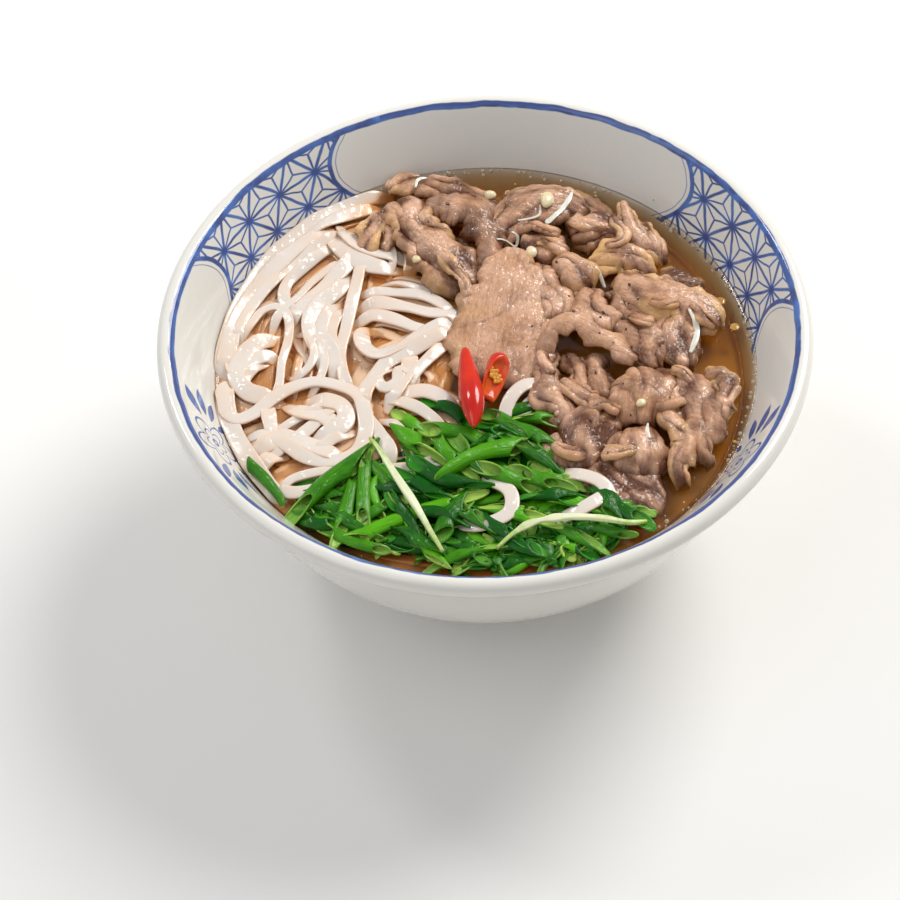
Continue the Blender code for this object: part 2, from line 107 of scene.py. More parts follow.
def arc(centre, radius, start, end, count):
    return np.array([np.array(centre) + radius * direction(mix(start, end, i / count))
                     for i in range(count + 1)])


def smooth_curve(rows, t):
    """Values at each t, 0 to 1, of a smooth curve through rows of numbers."""
    rows = np.array(rows, float)
    x = np.clip(t, 0, 1) * (len(rows) - 1)
    i = np.minimum(x.astype(int), len(rows) - 2)
    f = (x - i)[:, None]
    p, q, r, s = (rows[np.clip(i + k, 0, len(rows) - 1)] for k in (-1, 0, 1, 2))
    return 0.5 * (2 * q + (r - p) * f + (2 * p - 5 * q + 4 * r - s) * f * f
                  + (3 * q - p - 3 * r + s) * f ** 3)


def even_curve(rows, spacing):
    """A smooth curve through rows, as points that are `spacing` apart in x and y."""
    fine = smooth_curve(rows, np.linspace(0, 1, 40 * len(rows)))
    run = np.r_[0, np.cumsum(np.linalg.norm(np.diff(fine[:, :2], axis=0), axis=1))]
    stops = np.linspace(0, run[-1], max(4, round(run[-1] / spacing)) + 1)
    return np.column_stack([np.interp(stops, run, column) for column in fine.T])


WAVE_COUNT = 8          # how many sines make up one unevenness


def waves(points, size, seed):
    """Smooth unevenness of about `size`, from -1 to 1, at each of an array of points."""
    draw = np.random.default_rng(seed)
    total = 0
    for _ in range(WAVE_COUNT):
        heading = unit(draw.normal(size=points.shape[-1])) * math.tau / (size * draw.uniform(0.7, 1.5))
        total = total + np.sin(points @ heading + draw.uniform(0, math.tau))
    return total / (0.75 * WAVE_COUNT ** 0.7)


def soften(values, reach):
    """Values along a line, averaged over about `reach` neighbours on each side."""
    window = np.exp(-np.linspace(-2, 2, 4 * max(int(reach), 1) + 1) ** 2)
    half = len(window) // 2
    padded = np.pad(values, half, mode="edge")
    return np.convolve(padded, window / window.sum(), mode="valid")


def running_top(values, reach):
    """Values along a line, each raised to the highest within `reach` neighbours."""
    padded = np.pad(values, reach, mode="edge")
    return np.max([padded[i:i + len(values)] for i in range(2 * reach + 1)], axis=0)


# ---- the bowl's section: radius and height ----
def inner_wall(count=44):
    """From the middle of the floor up to the lip."""
    top = np.array(LIP_CENTRE) + LIP_ROLL * direction(LIP_START)
    down = top - 45 * direction(INNER_SLOPE)
    return bezier(np.array((0.0, FLOOR_HEIGHT)), np.array((77.0, FLOOR_HEIGHT)), down, top, count)


def outer_wall(count=36):
    """From the crease under the lip down to the foot."""
    neck = np.array(NECK)
    foot = np.array((FOOT_RADIUS, FOOT_HEIGHT))
    span = np.linalg.norm(neck - foot)
    down = neck - 0.35 * span * direction(OUTER_SLOPE)
    out = foot + 0.45 * span * direction(FOOT_SLOPE)
    return bezier(neck, down, out, foot, count)


def foot_ring():
    """Down the foot's outer side, under it, and across the bowl's underside."""
    inner = FOOT_RADIUS - FOOT_WIDTH
    outside = [(FOOT_RADIUS - 0.25, 7.4), (FOOT_RADIUS - 0.45, 4.5), (FOOT_RADIUS - 0.7, 1.0)]
    under = [(FOOT_RADIUS - 0.95, 0.3), (FOOT_RADIUS - 1.5, 0.0), (inner + 0.8, 0.0), (inner + 0.25, 0.3)]
    inside = [(inner, 1.0), (inner - 0.7, 5.2), (inner - 1.4, 6.1), (inner - 3, 6.4), (20.0, 6.9),
              (0.0, 7.4)]
    return np.array(outside + under + inside)


INNER_WALL = inner_wall()


def wall_height(radius):
    return np.interp(radius, INNER_WALL[:, 0], INNER_WALL[:, 1])


def wall_radius(height):
    return np.interp(height, INNER_WALL[:, 1], INNER_WALL[:, 0])


# ---- meshes ----
def finish_mesh(bm, name, material, nodes, smooth=True):
    """Turns a bmesh in millimetres into a piece that rides on the bowl's body and stands for `nodes`."""
    bmesh.ops.scale(bm, vec=(MM, MM, MM), verts=list(bm.verts))
    mesh = bpy.data.meshes.new(name)
    bm.to_mesh(mesh)
    bm.free()
    for finish in material if isinstance(material, (list, tuple)) else [material]:
        mesh.materials.append(finish)
    if smooth:
        mesh.shade_smooth()
    made = bpy.data.objects.new(name, mesh)
    bpy.context.scene.collection.objects.link(made)
    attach(made, "root")
    if nodes:
        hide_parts(*nodes)
    return made


def painted_mesh(*names):
    """An empty bmesh, and a float layer on its vertices for each name."""
    bm = bmesh.new()
    return bm, [bm.verts.layers.float.new(name) for name in names]


def doubled_grid(bm, along, across):
    """A closed form of two layers: its vertices, their places from -1 to 1, and the upper ones."""
    bmesh.ops.create_grid(bm, x_segments=along, y_segments=across, size=1.0)
    grown = bmesh.ops.extrude_face_region(bm, geom=list(bm.faces))
    high = {g for g in grown["geom"] if isinstance(g, bmesh.types.BMVert)}
    verts = list(bm.verts)
    return verts, np.array([v.co[:2] for v in verts]), high


def drawn_to_disc(places):
    """x and y of places on a square from -1 to 1, drawn in to a disc."""
    u, v = places.T
    return u * np.sqrt(1 - v * v / 2), v * np.sqrt(1 - u * u / 2)


def turned(section, steps):
    """A closed bmesh turned from a section of radius and height that starts and ends on the axis."""
    bm = bmesh.new()
    line = [bm.verts.new((r, 0, z)) for r, z in section]
    edges = [bm.edges.new(pair) for pair in zip(line, line[1:])]
    bmesh.ops.spin(bm, geom=line + edges, cent=(0, 0, 0), axis=(0, 0, 1), angle=math.tau, steps=steps,
                   use_merge=True)
    bmesh.ops.remove_doubles(bm, verts=list(bm.verts), dist=0.001)
    bmesh.ops.recalc_face_normals(bm, faces=list(bm.faces))
    return bm


TEMPLATES = {}


def tube_template(sides, rings, caps):
    """A tube mesh of one unit round, and each vertex's ring and side number."""
    key = (sides, rings, caps)
    if key not in TEMPLATES:
        bm = bmesh.new()
        bmesh.ops.create_cone(bm, cap_ends=caps, segments=sides, radius1=1, radius2=1, depth=2)
        tall = [e for e in bm.edges if abs(e.verts[0].co.z - e.verts[1].co.z) > 1]
        bmesh.ops.subdivide_edges(bm, edges=tall, cuts=rings - 2, use_grid_fill=True)
        bmesh.ops.recalc_face_normals(bm, faces=list(bm.faces))
        ring = [round((v.co.z + 1) / 2 * (rings - 1)) for v in bm.verts]
        side = [round(math.atan2(v.co.y, v.co.x) / math.tau * sides) % sides for v in bm.verts]
        mesh = bpy.data.meshes.new("tube_template")
        bm.to_mesh(mesh)
        bm.free()
        TEMPLATES[key] = (mesh, np.array(ring), np.array(side))
    return TEMPLATES[key]


def lay_tube(bm, places, caps=True):
    """Adds a tube to the bmesh; places[ring, side] are its points."""
    rings, sides = places.shape[:2]
    mesh, ring, side = tube_template(sides, rings, caps)
    start = len(bm.verts)
    bm.from_mesh(mesh)
    bm.verts.ensure_lookup_table()
    for v, place in zip(bm.verts[start:], places[ring, side]):
        v.co = place


def sweep(centres, ahead, up, half_width, half_height, sides, squareness=1.0):
    """Points round a flattened tube along centres; squareness under 1 gives a flat strip."""
    side = unit(np.cross(up, ahead))
    over = unit(np.cross(ahead, side))
    turn = np.arange(sides) * math.tau / sides
    a = np.sign(np.cos(turn)) * np.abs(np.cos(turn)) ** squareness
    b = np.sign(np.sin(turn)) * np.abs(np.sin(turn)) ** squareness
    # The order runs against the clock seen from the start, so that faces point outwards.
    return (centres[:, None] + side[:, None] * (a[None, :, None] * np.reshape(half_width, (-1, 1, 1)))
            + over[:, None] * (b[None, :, None] * np.reshape(half_height, (-1, 1, 1))))


def remove_templates():
    for mesh, _, _ in TEMPLATES.values():
        bpy.data.meshes.remove(mesh)
    TEMPLATES.clear()


# ---- materials ----
def add(tree, kind, inputs=None, **settings):
    """Adds a node. inputs maps a socket's name or number to a value, a node or a node's output."""
    made = tree.nodes.new("ShaderNode" + kind)
    for name, value in settings.items():
        setattr(made, name, value)
    for key, value in (inputs or {}).items():
        if isinstance(value, bpy.types.Node):
            value = next(o for o in value.outputs if o.enabled)
        if isinstance(value, bpy.types.NodeSocket):
            tree.links.new(value, made.inputs[key])
        else:
            made.inputs[key].default_value = value
    return made


def calc(tree, operation, *values):
    """A sum of up to three values."""
    return add(tree, "Math", dict(enumerate(values)), operation=operation)


def blend(tree, amount, first, second):
    """A colour between two others."""
    return add(tree, "Mix", {0: amount, 6: first, 7: second}, data_type="RGBA")


def ramp(tree, value, low, high, to_low=0.0, to_high=1.0):
    """Takes the range from low to high to another one, and goes no further."""
    return add(tree, "MapRange", {"Value": value, "From Min": low, "From Max": high, "To Min": to_low,
                                  "To Max": to_high})


def noise(tree, place, scale, detail, **others):
    """Cloudy noise from 0 to 1."""
    inputs = {"Vector": place, "Scale": scale, "Detail": detail, **others}
    return add(tree, "TexNoise", inputs).outputs["Fac"]


def own_place(tree):
    """Where on the piece a point lies, in metres."""
    return add(tree, "TexCoord").outputs["Object"]


def attribute(tree, name):
    """What is stored on the vertices under this name."""
    return add(tree, "Attribute", attribute_name=name).outputs["Fac"]


def bumps(tree, height, strength, distance):
    """The surface's normal, tilted by heights over this distance in metres."""
    return add(tree, "Bump", {"Height": height, "Strength": strength, "Distance": distance})


def new_material(name):
    """An empty material and its tree."""
    made = bpy.data.materials.new(name)
    made.use_nodes = True
    made.node_tree.nodes.clear()
    return made, made.node_tree


def surfaced(made, shader, **others):
    """Links a material's last nodes to its output and returns the material."""
    add(made.node_tree, "OutputMaterial", {"Surface": shader, **others})
    return made


# ---- the settings that a user would change ----
def length(name, description, default, low=0.0, high=200.0):
    return FloatProperty(name=name, description=description + ", in millimetres", default=default, min=low,
                         max=high)


def paint(name, description, default):
    return FloatVectorProperty(name=name, description=description, default=colour(default), size=4,
                               min=0.0, max=1.0, subtype="COLOR")


class BowlSettings(bpy.types.PropertyGroup):
    sides: IntProperty(name="Sides", description="Steps round the bowl", default=200, min=24, max=400)
    ring_width: length("Ring width", "Width of the painted line under the lip", 2.2)
    star_spacing: length("Star spacing", "Distance between the stars of the hemp-leaf pattern", 14.7)
    row_height: length("Row height", "Distance between its rows", 9.3)
    line_width: length("Line width", "Width of its brush lines", 0.95)
    glaze: paint("Glaze", "Colour of the glaze", "#E6E4DC")
    cobalt: paint("Cobalt", "Painted blue where it is thick", "#0C3886")
    wash: paint("Wash", "Painted blue where it is thin", "#386CBC")
    biscuit: paint("Biscuit", "Unglazed clay under the foot", "#CFC6B6")


class BrothSettings(bpy.types.PropertyGroup):
    tint: paint("Tint", "What the broth lets through", "#EDC824")
    film: paint("Film", "Colour of the fine fat on the broth", "#B98A4E")
    matter: paint("Matter", "Colour of the fine matter deep in the broth", "#FBEFB4")
    matter_depth: length("Depth of the matter", "How far down the broth clouds over", 7.0)


class StageSettings(bpy.types.PropertyGroup):
    camera_distance: FloatProperty(name="Camera distance", description="From the rim's middle to the camera",
                                   default=0.7376, min=0.2, max=3.0, unit="LENGTH")
    camera_height: FloatProperty(name="Camera height", description="Angle over the horizon",
                                 default=math.radians(51.65), subtype="ANGLE", unit="ROTATION")
    camera_roll: FloatProperty(name="Camera roll", description="Lean of the camera",
                               default=math.radians(-2.8), subtype="ANGLE", unit="ROTATION")
    floor: paint("Floor", "Colour of the floor", "#F2F1EE")


# ---- the bowl ----
# Glazed porcelain: a clear, hard, even gloss over an off-white body, with blue painted under the glaze.
# Depths are measured down the wall from the top of the lip, and lengths are in millimetres.
RING_START, PAINT_START = 1.1, 1.6
PANEL_TURNS = (22.4, 138.75, 262.0)                         # the middle of each panel, in degrees
PANEL_REACH = 26.067                                        # half the width of a panel at its middle
PANEL_BULGE, PANEL_MIDDLE, PANEL_HALF = 8.0, 13.5, 12.0
BAND_WIDTH, THIN_LINE_AT, THIN_LINE_WIDTH = 1.7, 3.1, 0.35
PANEL_END = 25.6                                            # how far down the wall the panels reach
STAR_ROW = 19.7
WALL_AROUND = 90.0                                          # radius at which distance round the wall counts
BLOSSOM_TURNS, BLOSSOM_DOWN = (202.5, 325.0), 13.5
NEAR_PANEL, NEAR_BLOSSOM = 48.0, 25.0                       # how far the paint of each may reach sideways
PETALS = 5
# Leaves round a blossom: x, y, lean in degrees, half length and half width, in mm.
LEAVES = ((-15.5, -4.5, 28, 5.6, 2.0), (-17.0, 0.2, 8, 5.2, 1.8), (-15.0, 4.6, -18, 5.0, 1.7),
          (-10.2, 8.6, -50, 3.6, 1.4), (15.0, -6.0, -34, 5.2, 1.9), (17.4, -1.2, -12, 6.0, 2.1),
          (16.2, 4.2, 14, 5.4, 1.9), (10.4, 8.8, 48, 3.6, 1.4))
INK_STRENGTH = 0.93                                         # how far the blue covers the glaze
BARE_UNDER = 0.0006                                         # in metres; the clay of the foot is bare below


def near_one(tree, around, places, reach):
    """Distance round the wall from the nearest of the places in degrees, and 1 where one is within reach."""
    total = inside = 0.0
    for degrees in places:
        local = calc(tree, "SUBTRACT", around, math.radians(degrees))
        local = calc(tree, "WRAP", local, math.pi, -math.pi)
        far = calc(tree, "MULTIPLY", local, WALL_AROUND)
        size = calc(tree, "ABSOLUTE", far)
        here = calc(tree, "LESS_THAN", size, reach)
        total = calc(tree, "MULTIPLY_ADD", far, here, total)
        inside = calc(tree, "ADD", here, inside)
    return total, inside


def brush(tree, distance, half_width, softness=0.2):
    """1 on a line of this half width, and 0 away from it."""
    return add(tree, "MapRange", {"Value": distance, "From Min": half_width + softness,
                                  "From Max": max(half_width - softness, 0.0)},
               interpolation_type="SMOOTHSTEP")


def hemp_leaf(tree, across, down, settings):
    """The hemp-leaf pattern: stars on a grid of triangles, each triangle's middle joined to its corners."""
    column = calc(tree, "MULTIPLY", across, 1 / settings.star_spacing)
    row = calc(tree, "SUBTRACT", down, STAR_ROW)
    row = calc(tree, "MULTIPLY", row, 1 / settings.row_height)
    one = calc(tree, "MULTIPLY_ADD", row, -0.5, column)
    other = calc(tree, "MULTIPLY_ADD", row, 0.5, column)
    back = calc(tree, "MULTIPLY", other, -1.0)
    grid = add(tree, "CombineXYZ", {0: row, 1: one, 2: back})
    part = add(tree, "VectorMath", {0: grid}, operation="FRACTION")
    total = add(tree, "VectorMath", {0: part, 1: (1, 1, 1)}, operation="DOT_PRODUCT").outputs["Value"]
    flipped = calc(tree, "GREATER_THAN", total, 1.5)
    corner = add(tree, "VectorMath", {0: part, 1: flipped}, operation="SUBTRACT")
    corner = add(tree, "VectorMath", {0: corner}, operation="ABSOLUTE")
    a, b, c = add(tree, "SeparateXYZ", {0: corner}).outputs
    least = calc(tree, "MINIMUM", calc(tree, "MINIMUM", a, b), c)
    most = calc(tree, "MAXIMUM", calc(tree, "MAXIMUM", a, b), c)
    both = calc(tree, "ADD", least, most)
    middle = calc(tree, "SUBTRACT", 1.0, both)
    spoke = calc(tree, "SUBTRACT", middle, least)
    edge = calc(tree, "MULTIPLY", least, settings.row_height * 1.1)
    spoke = calc(tree, "MULTIPLY", spoke, settings.star_spacing * 0.5)
    half = settings.line_width / 2
    lines = calc(tree, "MAXIMUM", brush(tree, edge, half), brush(tree, spoke, half * 0.8))
    star = add(tree, "MapRange", {"Value": most, "From Min": 0.80, "From Max": 0.93},
               interpolation_type="SMOOTHSTEP")
    return calc(tree, "MAXIMUM", lines, star), star


def blossom(tree, across, down):
    """A five-lobed blossom in outline, with a small ring at its heart and solid leaves round it."""
    place = add(tree, "CombineXYZ", {0: across, 1: down})
    far = add(tree, "VectorMath", {0: place}, operation="LENGTH").outputs["Value"]
    turn = calc(tree, "ARCTAN2", down, across)
    lobe = calc(tree, "COSINE", calc(tree, "MULTIPLY", turn, PETALS / 2))
    lobe = calc(tree, "ABSOLUTE", lobe)
    ink = 0.0
    for base, swing, half in ((4.8, 4.6, 0.5), (2.8, 2.2, 0.3), (1.1, 0.0, 0.5)):
        outline = calc(tree, "MULTIPLY_ADD", lobe, swing, base)
        off = calc(tree, "ABSOLUTE", calc(tree, "SUBTRACT", far, outline))
        ink = calc(tree, "MAXIMUM", ink, brush(tree, off, half))
    for x, y, lean, long, wide in LEAVES:
        own = add(tree, "Mapping", {"Vector": place, "Location": (x, y, 0),
                                    "Rotation": (0, 0, math.radians(lean)), "Scale": (long, wide, 1)},
                  vector_type="TEXTURE")
        u, v, _ = add(tree, "SeparateXYZ", {0: own}).outputs
        width = calc(tree, "MULTIPLY_ADD", calc(tree, "MULTIPLY", u, u), -1.0, 1.0)
        left = calc(tree, "SUBTRACT", width, calc(tree, "ABSOLUTE", v))
        ink = calc(tree, "MAXIMUM", ink, ramp(tree, left, 0.0, 0.12))
    return ink


def panels_ink(tree, around, down, depth, shift, settings):
    """The panels of pattern, each between two bowed bands: where they are painted, and their stars."""
    across, inside = near_one(tree, around, PANEL_TURNS, NEAR_PANEL)
    across = calc(tree, "MULTIPLY_ADD", shift, 1.8, across)
    bow = calc(tree, "SUBTRACT", down, PANEL_MIDDLE)
    bow = calc(tree, "MULTIPLY", bow, 1 / PANEL_HALF)
    bow = calc(tree, "MULTIPLY", bow, bow)
    size = calc(tree, "ABSOLUTE", across)
    past = calc(tree, "MULTIPLY_ADD", bow, -PANEL_BULGE, size)
    past = calc(tree, "SUBTRACT", past, PANEL_REACH)
    # a bowed edge is steep at its ends, where the same step sideways is a shorter one across the band
    steep = calc(tree, "MULTIPLY_ADD", bow, 0.9, 1.0)
    steep = calc(tree, "SQRT", steep)
    past = calc(tree, "DIVIDE", past, steep)
    within = calc(tree, "LESS_THAN", past, BAND_WIDTH / 2)
    painted = calc(tree, "LESS_THAN", depth, PANEL_END)
    inside = calc(tree, "MULTIPLY", inside, painted)
    lattice, star = hemp_leaf(tree, across, down, settings)
    lattice = calc(tree, "MULTIPLY", lattice, within)
    band_off = calc(tree, "ABSOLUTE", calc(tree, "SUBTRACT", past, BAND_WIDTH / 2))
    band = brush(tree, band_off, BAND_WIDTH / 2, 0.25)
    thin_off = calc(tree, "ABSOLUTE", calc(tree, "SUBTRACT", past, THIN_LINE_AT))
    thin = brush(tree, thin_off, THIN_LINE_WIDTH / 2)
    ink = calc(tree, "MAXIMUM", lattice, band)
    ink = calc(tree, "MAXIMUM", ink, calc(tree, "MULTIPLY", thin, 0.75))
    return calc(tree, "MULTIPLY", ink, inside), star


def blossoms_ink(tree, around, down, shift):
    """Where the blossoms between the panels are painted."""
    aside, by_blossom = near_one(tree, around, BLOSSOM_TURNS, NEAR_BLOSSOM)
    aside = calc(tree, "MULTIPLY_ADD", shift, 1.5, aside)
    under = calc(tree, "SUBTRACT", down, BLOSSOM_DOWN)
    return calc(tree, "MULTIPLY", blossom(tree, aside, under), by_blossom)


def porcelain_material(settings):
    made, tree = new_material("glazed_porcelain_underglaze_blue")
    place = own_place(tree)
    # the brush strays a little
    stray = add(tree, "TexNoise", {"Vector": place, "Scale": 95.0, "Detail": 2.0}).outputs["Color"]
    stray = add(tree, "VectorMath", {0: stray, 1: (0.5, 0.5, 0.5)}, operation="SUBTRACT")
    shift_x, shift_y, _ = add(tree, "SeparateXYZ", {0: stray}).outputs
    x, y, z = add(tree, "SeparateXYZ", {0: place}).outputs
    around = calc(tree, "ARCTAN2", y, x)
    depth = attribute(tree, "wall_depth")
    down = calc(tree, "MULTIPLY_ADD", shift_y, 1.6, depth)

    # the ring under the lip
    ring_off = calc(tree, "SUBTRACT", down, RING_START + settings.ring_width / 2)
    ring = brush(tree, calc(tree, "ABSOLUTE", ring_off), settings.ring_width / 2, 0.25)

    ink, star = panels_ink(tree, around, down, depth, shift_x, settings)
    ink = calc(tree, "MAXIMUM", ink, blossoms_ink(tree, around, down, shift_x))
    below_ring = calc(tree, "GREATER_THAN", depth, PAINT_START)
    ink = calc(tree, "MULTIPLY", ink, below_ring)
    ink = calc(tree, "MAXIMUM", ink, ring)

    # cobalt is thick at the stars and thin in the washes
    strokes = noise(tree, place, 140.0, 3.0)
    thick = ramp(tree, strokes, 0.35, 0.65)
    thick = calc(tree, "MAXIMUM", thick, star)
    blue = blend(tree, thick, settings.wash, settings.cobalt)
    strength = calc(tree, "MULTIPLY", ink, INK_STRENGTH)
    painted = blend(tree, strength, settings.glaze, blue)
    bare = calc(tree, "LESS_THAN", z, BARE_UNDER)
    base = blend(tree, bare, painted, settings.biscuit)
    rough = ramp(tree, bare, 0.0, 1.0, 0.07, 0.6)
    # the glaze pools a little unevenly, over about 12 mm
    pools = noise(tree, place, 80.0, 1.0)
    bump = bumps(tree, pools, 0.05, 0.001)
    shader = add(tree, "BsdfPrincipled", {
        "Base Color": base, "Roughness": rough, "IOR": 1.5, "Normal": bump, "Subsurface Weight": 0.05,
        "Subsurface Scale": 0.002})
    return surfaced(made, shader)


class SOUP_OT_bowl(bpy.types.Operator):
    """The glazed bowl, turned from its section, with its painted panels"""
    bl_idname = "soup.bowl"
    bl_label = "Bowl"

    def execute(self, context):
        settings = context.scene.soup_bowl
        lip = arc(LIP_CENTRE, LIP_ROLL, LIP_START, LIP_END, 22)
        section = np.vstack((INNER_WALL[:-1], lip, outer_wall()[1:], foot_ring()))
        bm = turned(section, settings.sides)

        # distance down the inner wall from the top of the lip, and below 0 outside it
        crest = int(np.argmax(section[:, 1]))
        inner = section[:crest + 1][::-1]
        run = np.r_[0, np.cumsum(np.linalg.norm(np.diff(inner, axis=0), axis=1))]
        layer = bm.verts.layers.float.new("wall_depth")
        for v in bm.verts:
            radius = v.co.xy.length
            off = np.abs(inner[:, 0] - radius) + np.abs(inner[:, 1] - v.co.z)
            nearest = int(np.argmin(off))
            v[layer] = run[nearest] if off[nearest] < 0.05 else -5.0
        finish_mesh(bm, "bowl_porcelain", porcelain_material(settings), ["bowl"])
        return {"FINISHED"}


# ---- the broth ----
# Clear amber stock: it tints what lies under it more with depth, carries a thin film of fat, and clouds over
# further down with fine matter.
# How it creeps up the wall: each row is a distance from the wall and a rise, in millimetres.
CREEP = ((-3.2, 0.0), (-1.8, 0.08), (-0.9, 0.25), (-0.2, 0.55), (0.6, 0.95))


def broth_material(settings):
    made, tree = new_material("clear_beef_broth")
    place = own_place(tree)
    swirl = noise(tree, place, 30.0, 3.0, Distortion=0.6)
    oily = ramp(tree, swirl, 0.35, 0.7, 0.03, 0.14)
    # small ripples, about 5 mm across
    ripple = noise(tree, place, 190.0, 1.0)
    bump = bumps(tree, ripple, 0.15, 0.001)
    clear = add(tree, "BsdfTransparent", {"Color": (1, 1, 1, 1)})
    film = add(tree, "BsdfPrincipled", {"Base Color": settings.film, "Roughness": 0.05, "IOR": 1.34})
    gloss = add(tree, "BsdfGlossy", {"Color": (1, 1, 1, 1), "Roughness": 0.03, "Normal": bump})
    body = add(tree, "MixShader", {0: oily, 1: clear, 2: film})
    shine = add(tree, "Fresnel", {"IOR": 1.36, "Normal": bump})
    surface = add(tree, "MixShader", {0: shine, 1: body, 2: gloss})
    absorb = add(tree, "VolumeAbsorption", {"Color": settings.tint, "Density": 185.0})
    return surfaced(made, surface, Volume=absorb)


def matter_material(settings):
    """Fine matter hanging in the broth: soft and dull."""
    made, tree = new_material("broth_matter")
    place = own_place(tree)
    swirl = noise(tree, place, 26.0, 2.0, Distortion=1.0)
    base = blend(tree, swirl, settings.matter, colour("#E4D298"))
    shader = add(tree, "BsdfPrincipled", {"Base Color": base, "Roughness": 0.9, "Specular IOR Level": 0.1})
    return surfaced(made, shader)


class SOUP_OT_broth(bpy.types.Operator):
    """The broth, from just inside the bowl's wall up to its level, creeping up the wall at its edge"""
    bl_idname = "soup.broth"
    bl_label = "Broth"

    def execute(self, context):
        edge = wall_radius(BROTH_LEVEL)
        creep = [(edge + off, rise) for off, rise in CREEP]
        flat = [(r, 0.0) for r in np.arange(0, edge - 4.5, 1.5)]
        top = [(r, BROTH_LEVEL + z) for r, z in flat + creep]
        down = [(r + 0.25, z - 0.25) for r, z in INNER_WALL[::-1] if r > 0 and z < BROTH_LEVEL - 0.5]
        bm = turned(top + down + [(0.0, FLOOR_HEIGHT - 0.25)], 160)
        surface = [v for v in bm.verts if v.co.z > BROTH_LEVEL - 0.2]
        places = np.array([v.co[:2] for v in surface])
        calm = smoothstep(edge, edge - 4, np.linalg.norm(places, axis=1))
        for v, lift in zip(surface, 0.10 * waves(places, 17.0, 3) * calm):
            v.co.z += lift
        settings = context.scene.soup_broth
        finish_mesh(bm, "broth_surface", broth_material(settings), ["broth"])

        # the fine matter, as a closed form within the broth
        level = BROTH_LEVEL - settings.matter_depth
        wide = wall_radius(level) - 0.6
        bm = turned([(r, level) for r in np.linspace(0, wide, 40)]
                    + [(r - 0.4, z + 0.4) for r, z in INNER_WALL[::-1] if 1 < r < wide - 1]
                    + [(0.0, FLOOR_HEIGHT + 0.4)], 120)
        places = np.array([v.co for v in bm.verts])
        lift = 0.8 * waves(places[:, :2], 26.0, 8) + 0.3 * waves(places[:, :2], 9.0, 9)
        for v, high in zip(bm.verts, lift * smoothstep(level - 1, level, places[:, 2])
                           * smoothstep(wide, wide - 12, np.hypot(*places[:, :2].T))):
            v.co.z += high
        finish_mesh(bm, "broth_matter", matter_material(settings), [])
        return {"FINISHED"}


# ---- what has been laid so far ----
class Bed:
    """Heights over the broth of what already lies in the bowl, on a square grid."""
    REACH, CELL = 92.0, 0.5

    def __init__(self, start):
        x, y = self.grid()
        self.top = np.maximum(start(x, y), wall_height(np.hypot(x, y)) - BROTH_LEVEL)

    def grid(self):
        axis = np.arange(-self.REACH, self.REACH, self.CELL) + self.CELL / 2
        return np.meshgrid(axis, axis, indexing="ij")

    def cell(self, value):
        return np.clip(((value + self.REACH) / self.CELL).astype(int), 0, len(self.top) - 1)

    def at(self, x, y):
        return self.top[self.cell(x), self.cell(y)]

    def fill(self, inside, level):
        self.top = np.where(inside(*self.grid()), np.maximum(self.top, level), self.top)

    def raise_to(self, x, y, z):
        np.maximum.at(self.top, (self.cell(x), self.cell(y)), z)


STEEPEST_TILT = 0.45
SAG_FROM, SAG = 0.6, 0.7        # over this height, a strip keeps this share of what it rises


def headings(line):
    """The directions along a line of x, y and to the left of it."""
    ahead = unit(np.gradient(line[:, :2], axis=0))
    return ahead, np.column_stack((-ahead[:, 1], ahead[:, 0]))


def lie_down(bed, line, width, thickness, give, firmness=1.0):
    """Lays a strip along a line of x, y; returns its middle's heights and its tilts, and raises the bed.

    A strip with a firmness under 1 sinks into what it crosses.
    """
    _, side = headings(line)
    across = np.linspace(-0.5, 0.5, 9) * width
    x = line[:, 0, None] + side[:, 0, None] * across
    y = line[:, 1, None] + side[:, 1, None] * across
    under = bed.at(x, y)
    tilt = soften((under[:, 5:].max(1) - under[:, :4].max(1)) / (0.7 * width), give)
    tilt = np.clip(tilt, -STEEPEST_TILT, STEEPEST_TILT)
    need = (under - tilt[:, None] * across).max(1)
    height = soften(running_top(need, give // 2), give) + thickness * (firmness - 0.5)
    height = np.minimum(height, SAG_FROM) + SAG * np.maximum(height - SAG_FROM, 0)
    bed.raise_to(x.ravel(), y.ravel(), (height[:, None] + tilt[:, None] * across + thickness / 2).ravel())
    return height, tilt


# ---- the noodles ----
# Flat rice noodles, cut square, boiled until half clear, with a wet gloss.
NOODLE_STEP, NOODLE_REACH, CORE_REACH = 1.0, 80.5, 79.0
WANDER_STEP, WANDER_BEND = 5.0, 0.5
NOODLE_WIDTHS = (0.6, 0.8, 0.95, 1.05, 1.2)                # as shares of the usual width
HIDDEN_TOP, UNDER_TOP = (-2.4, -0.9), (-1.8, -0.1)         # ranges of height that covered noodles keep under
NOODLE_SEED, NOODLE_SIDES, HIDDEN_SIDES = 11, 16, 10
SHORTEST_ROUTE, SHORTEST_LINE = 5, 8                       # anything shorter, in points, is left out
DIVE, DIVE_RUN = 3.0, 8.0                                  # how far an end dives, over how long a run
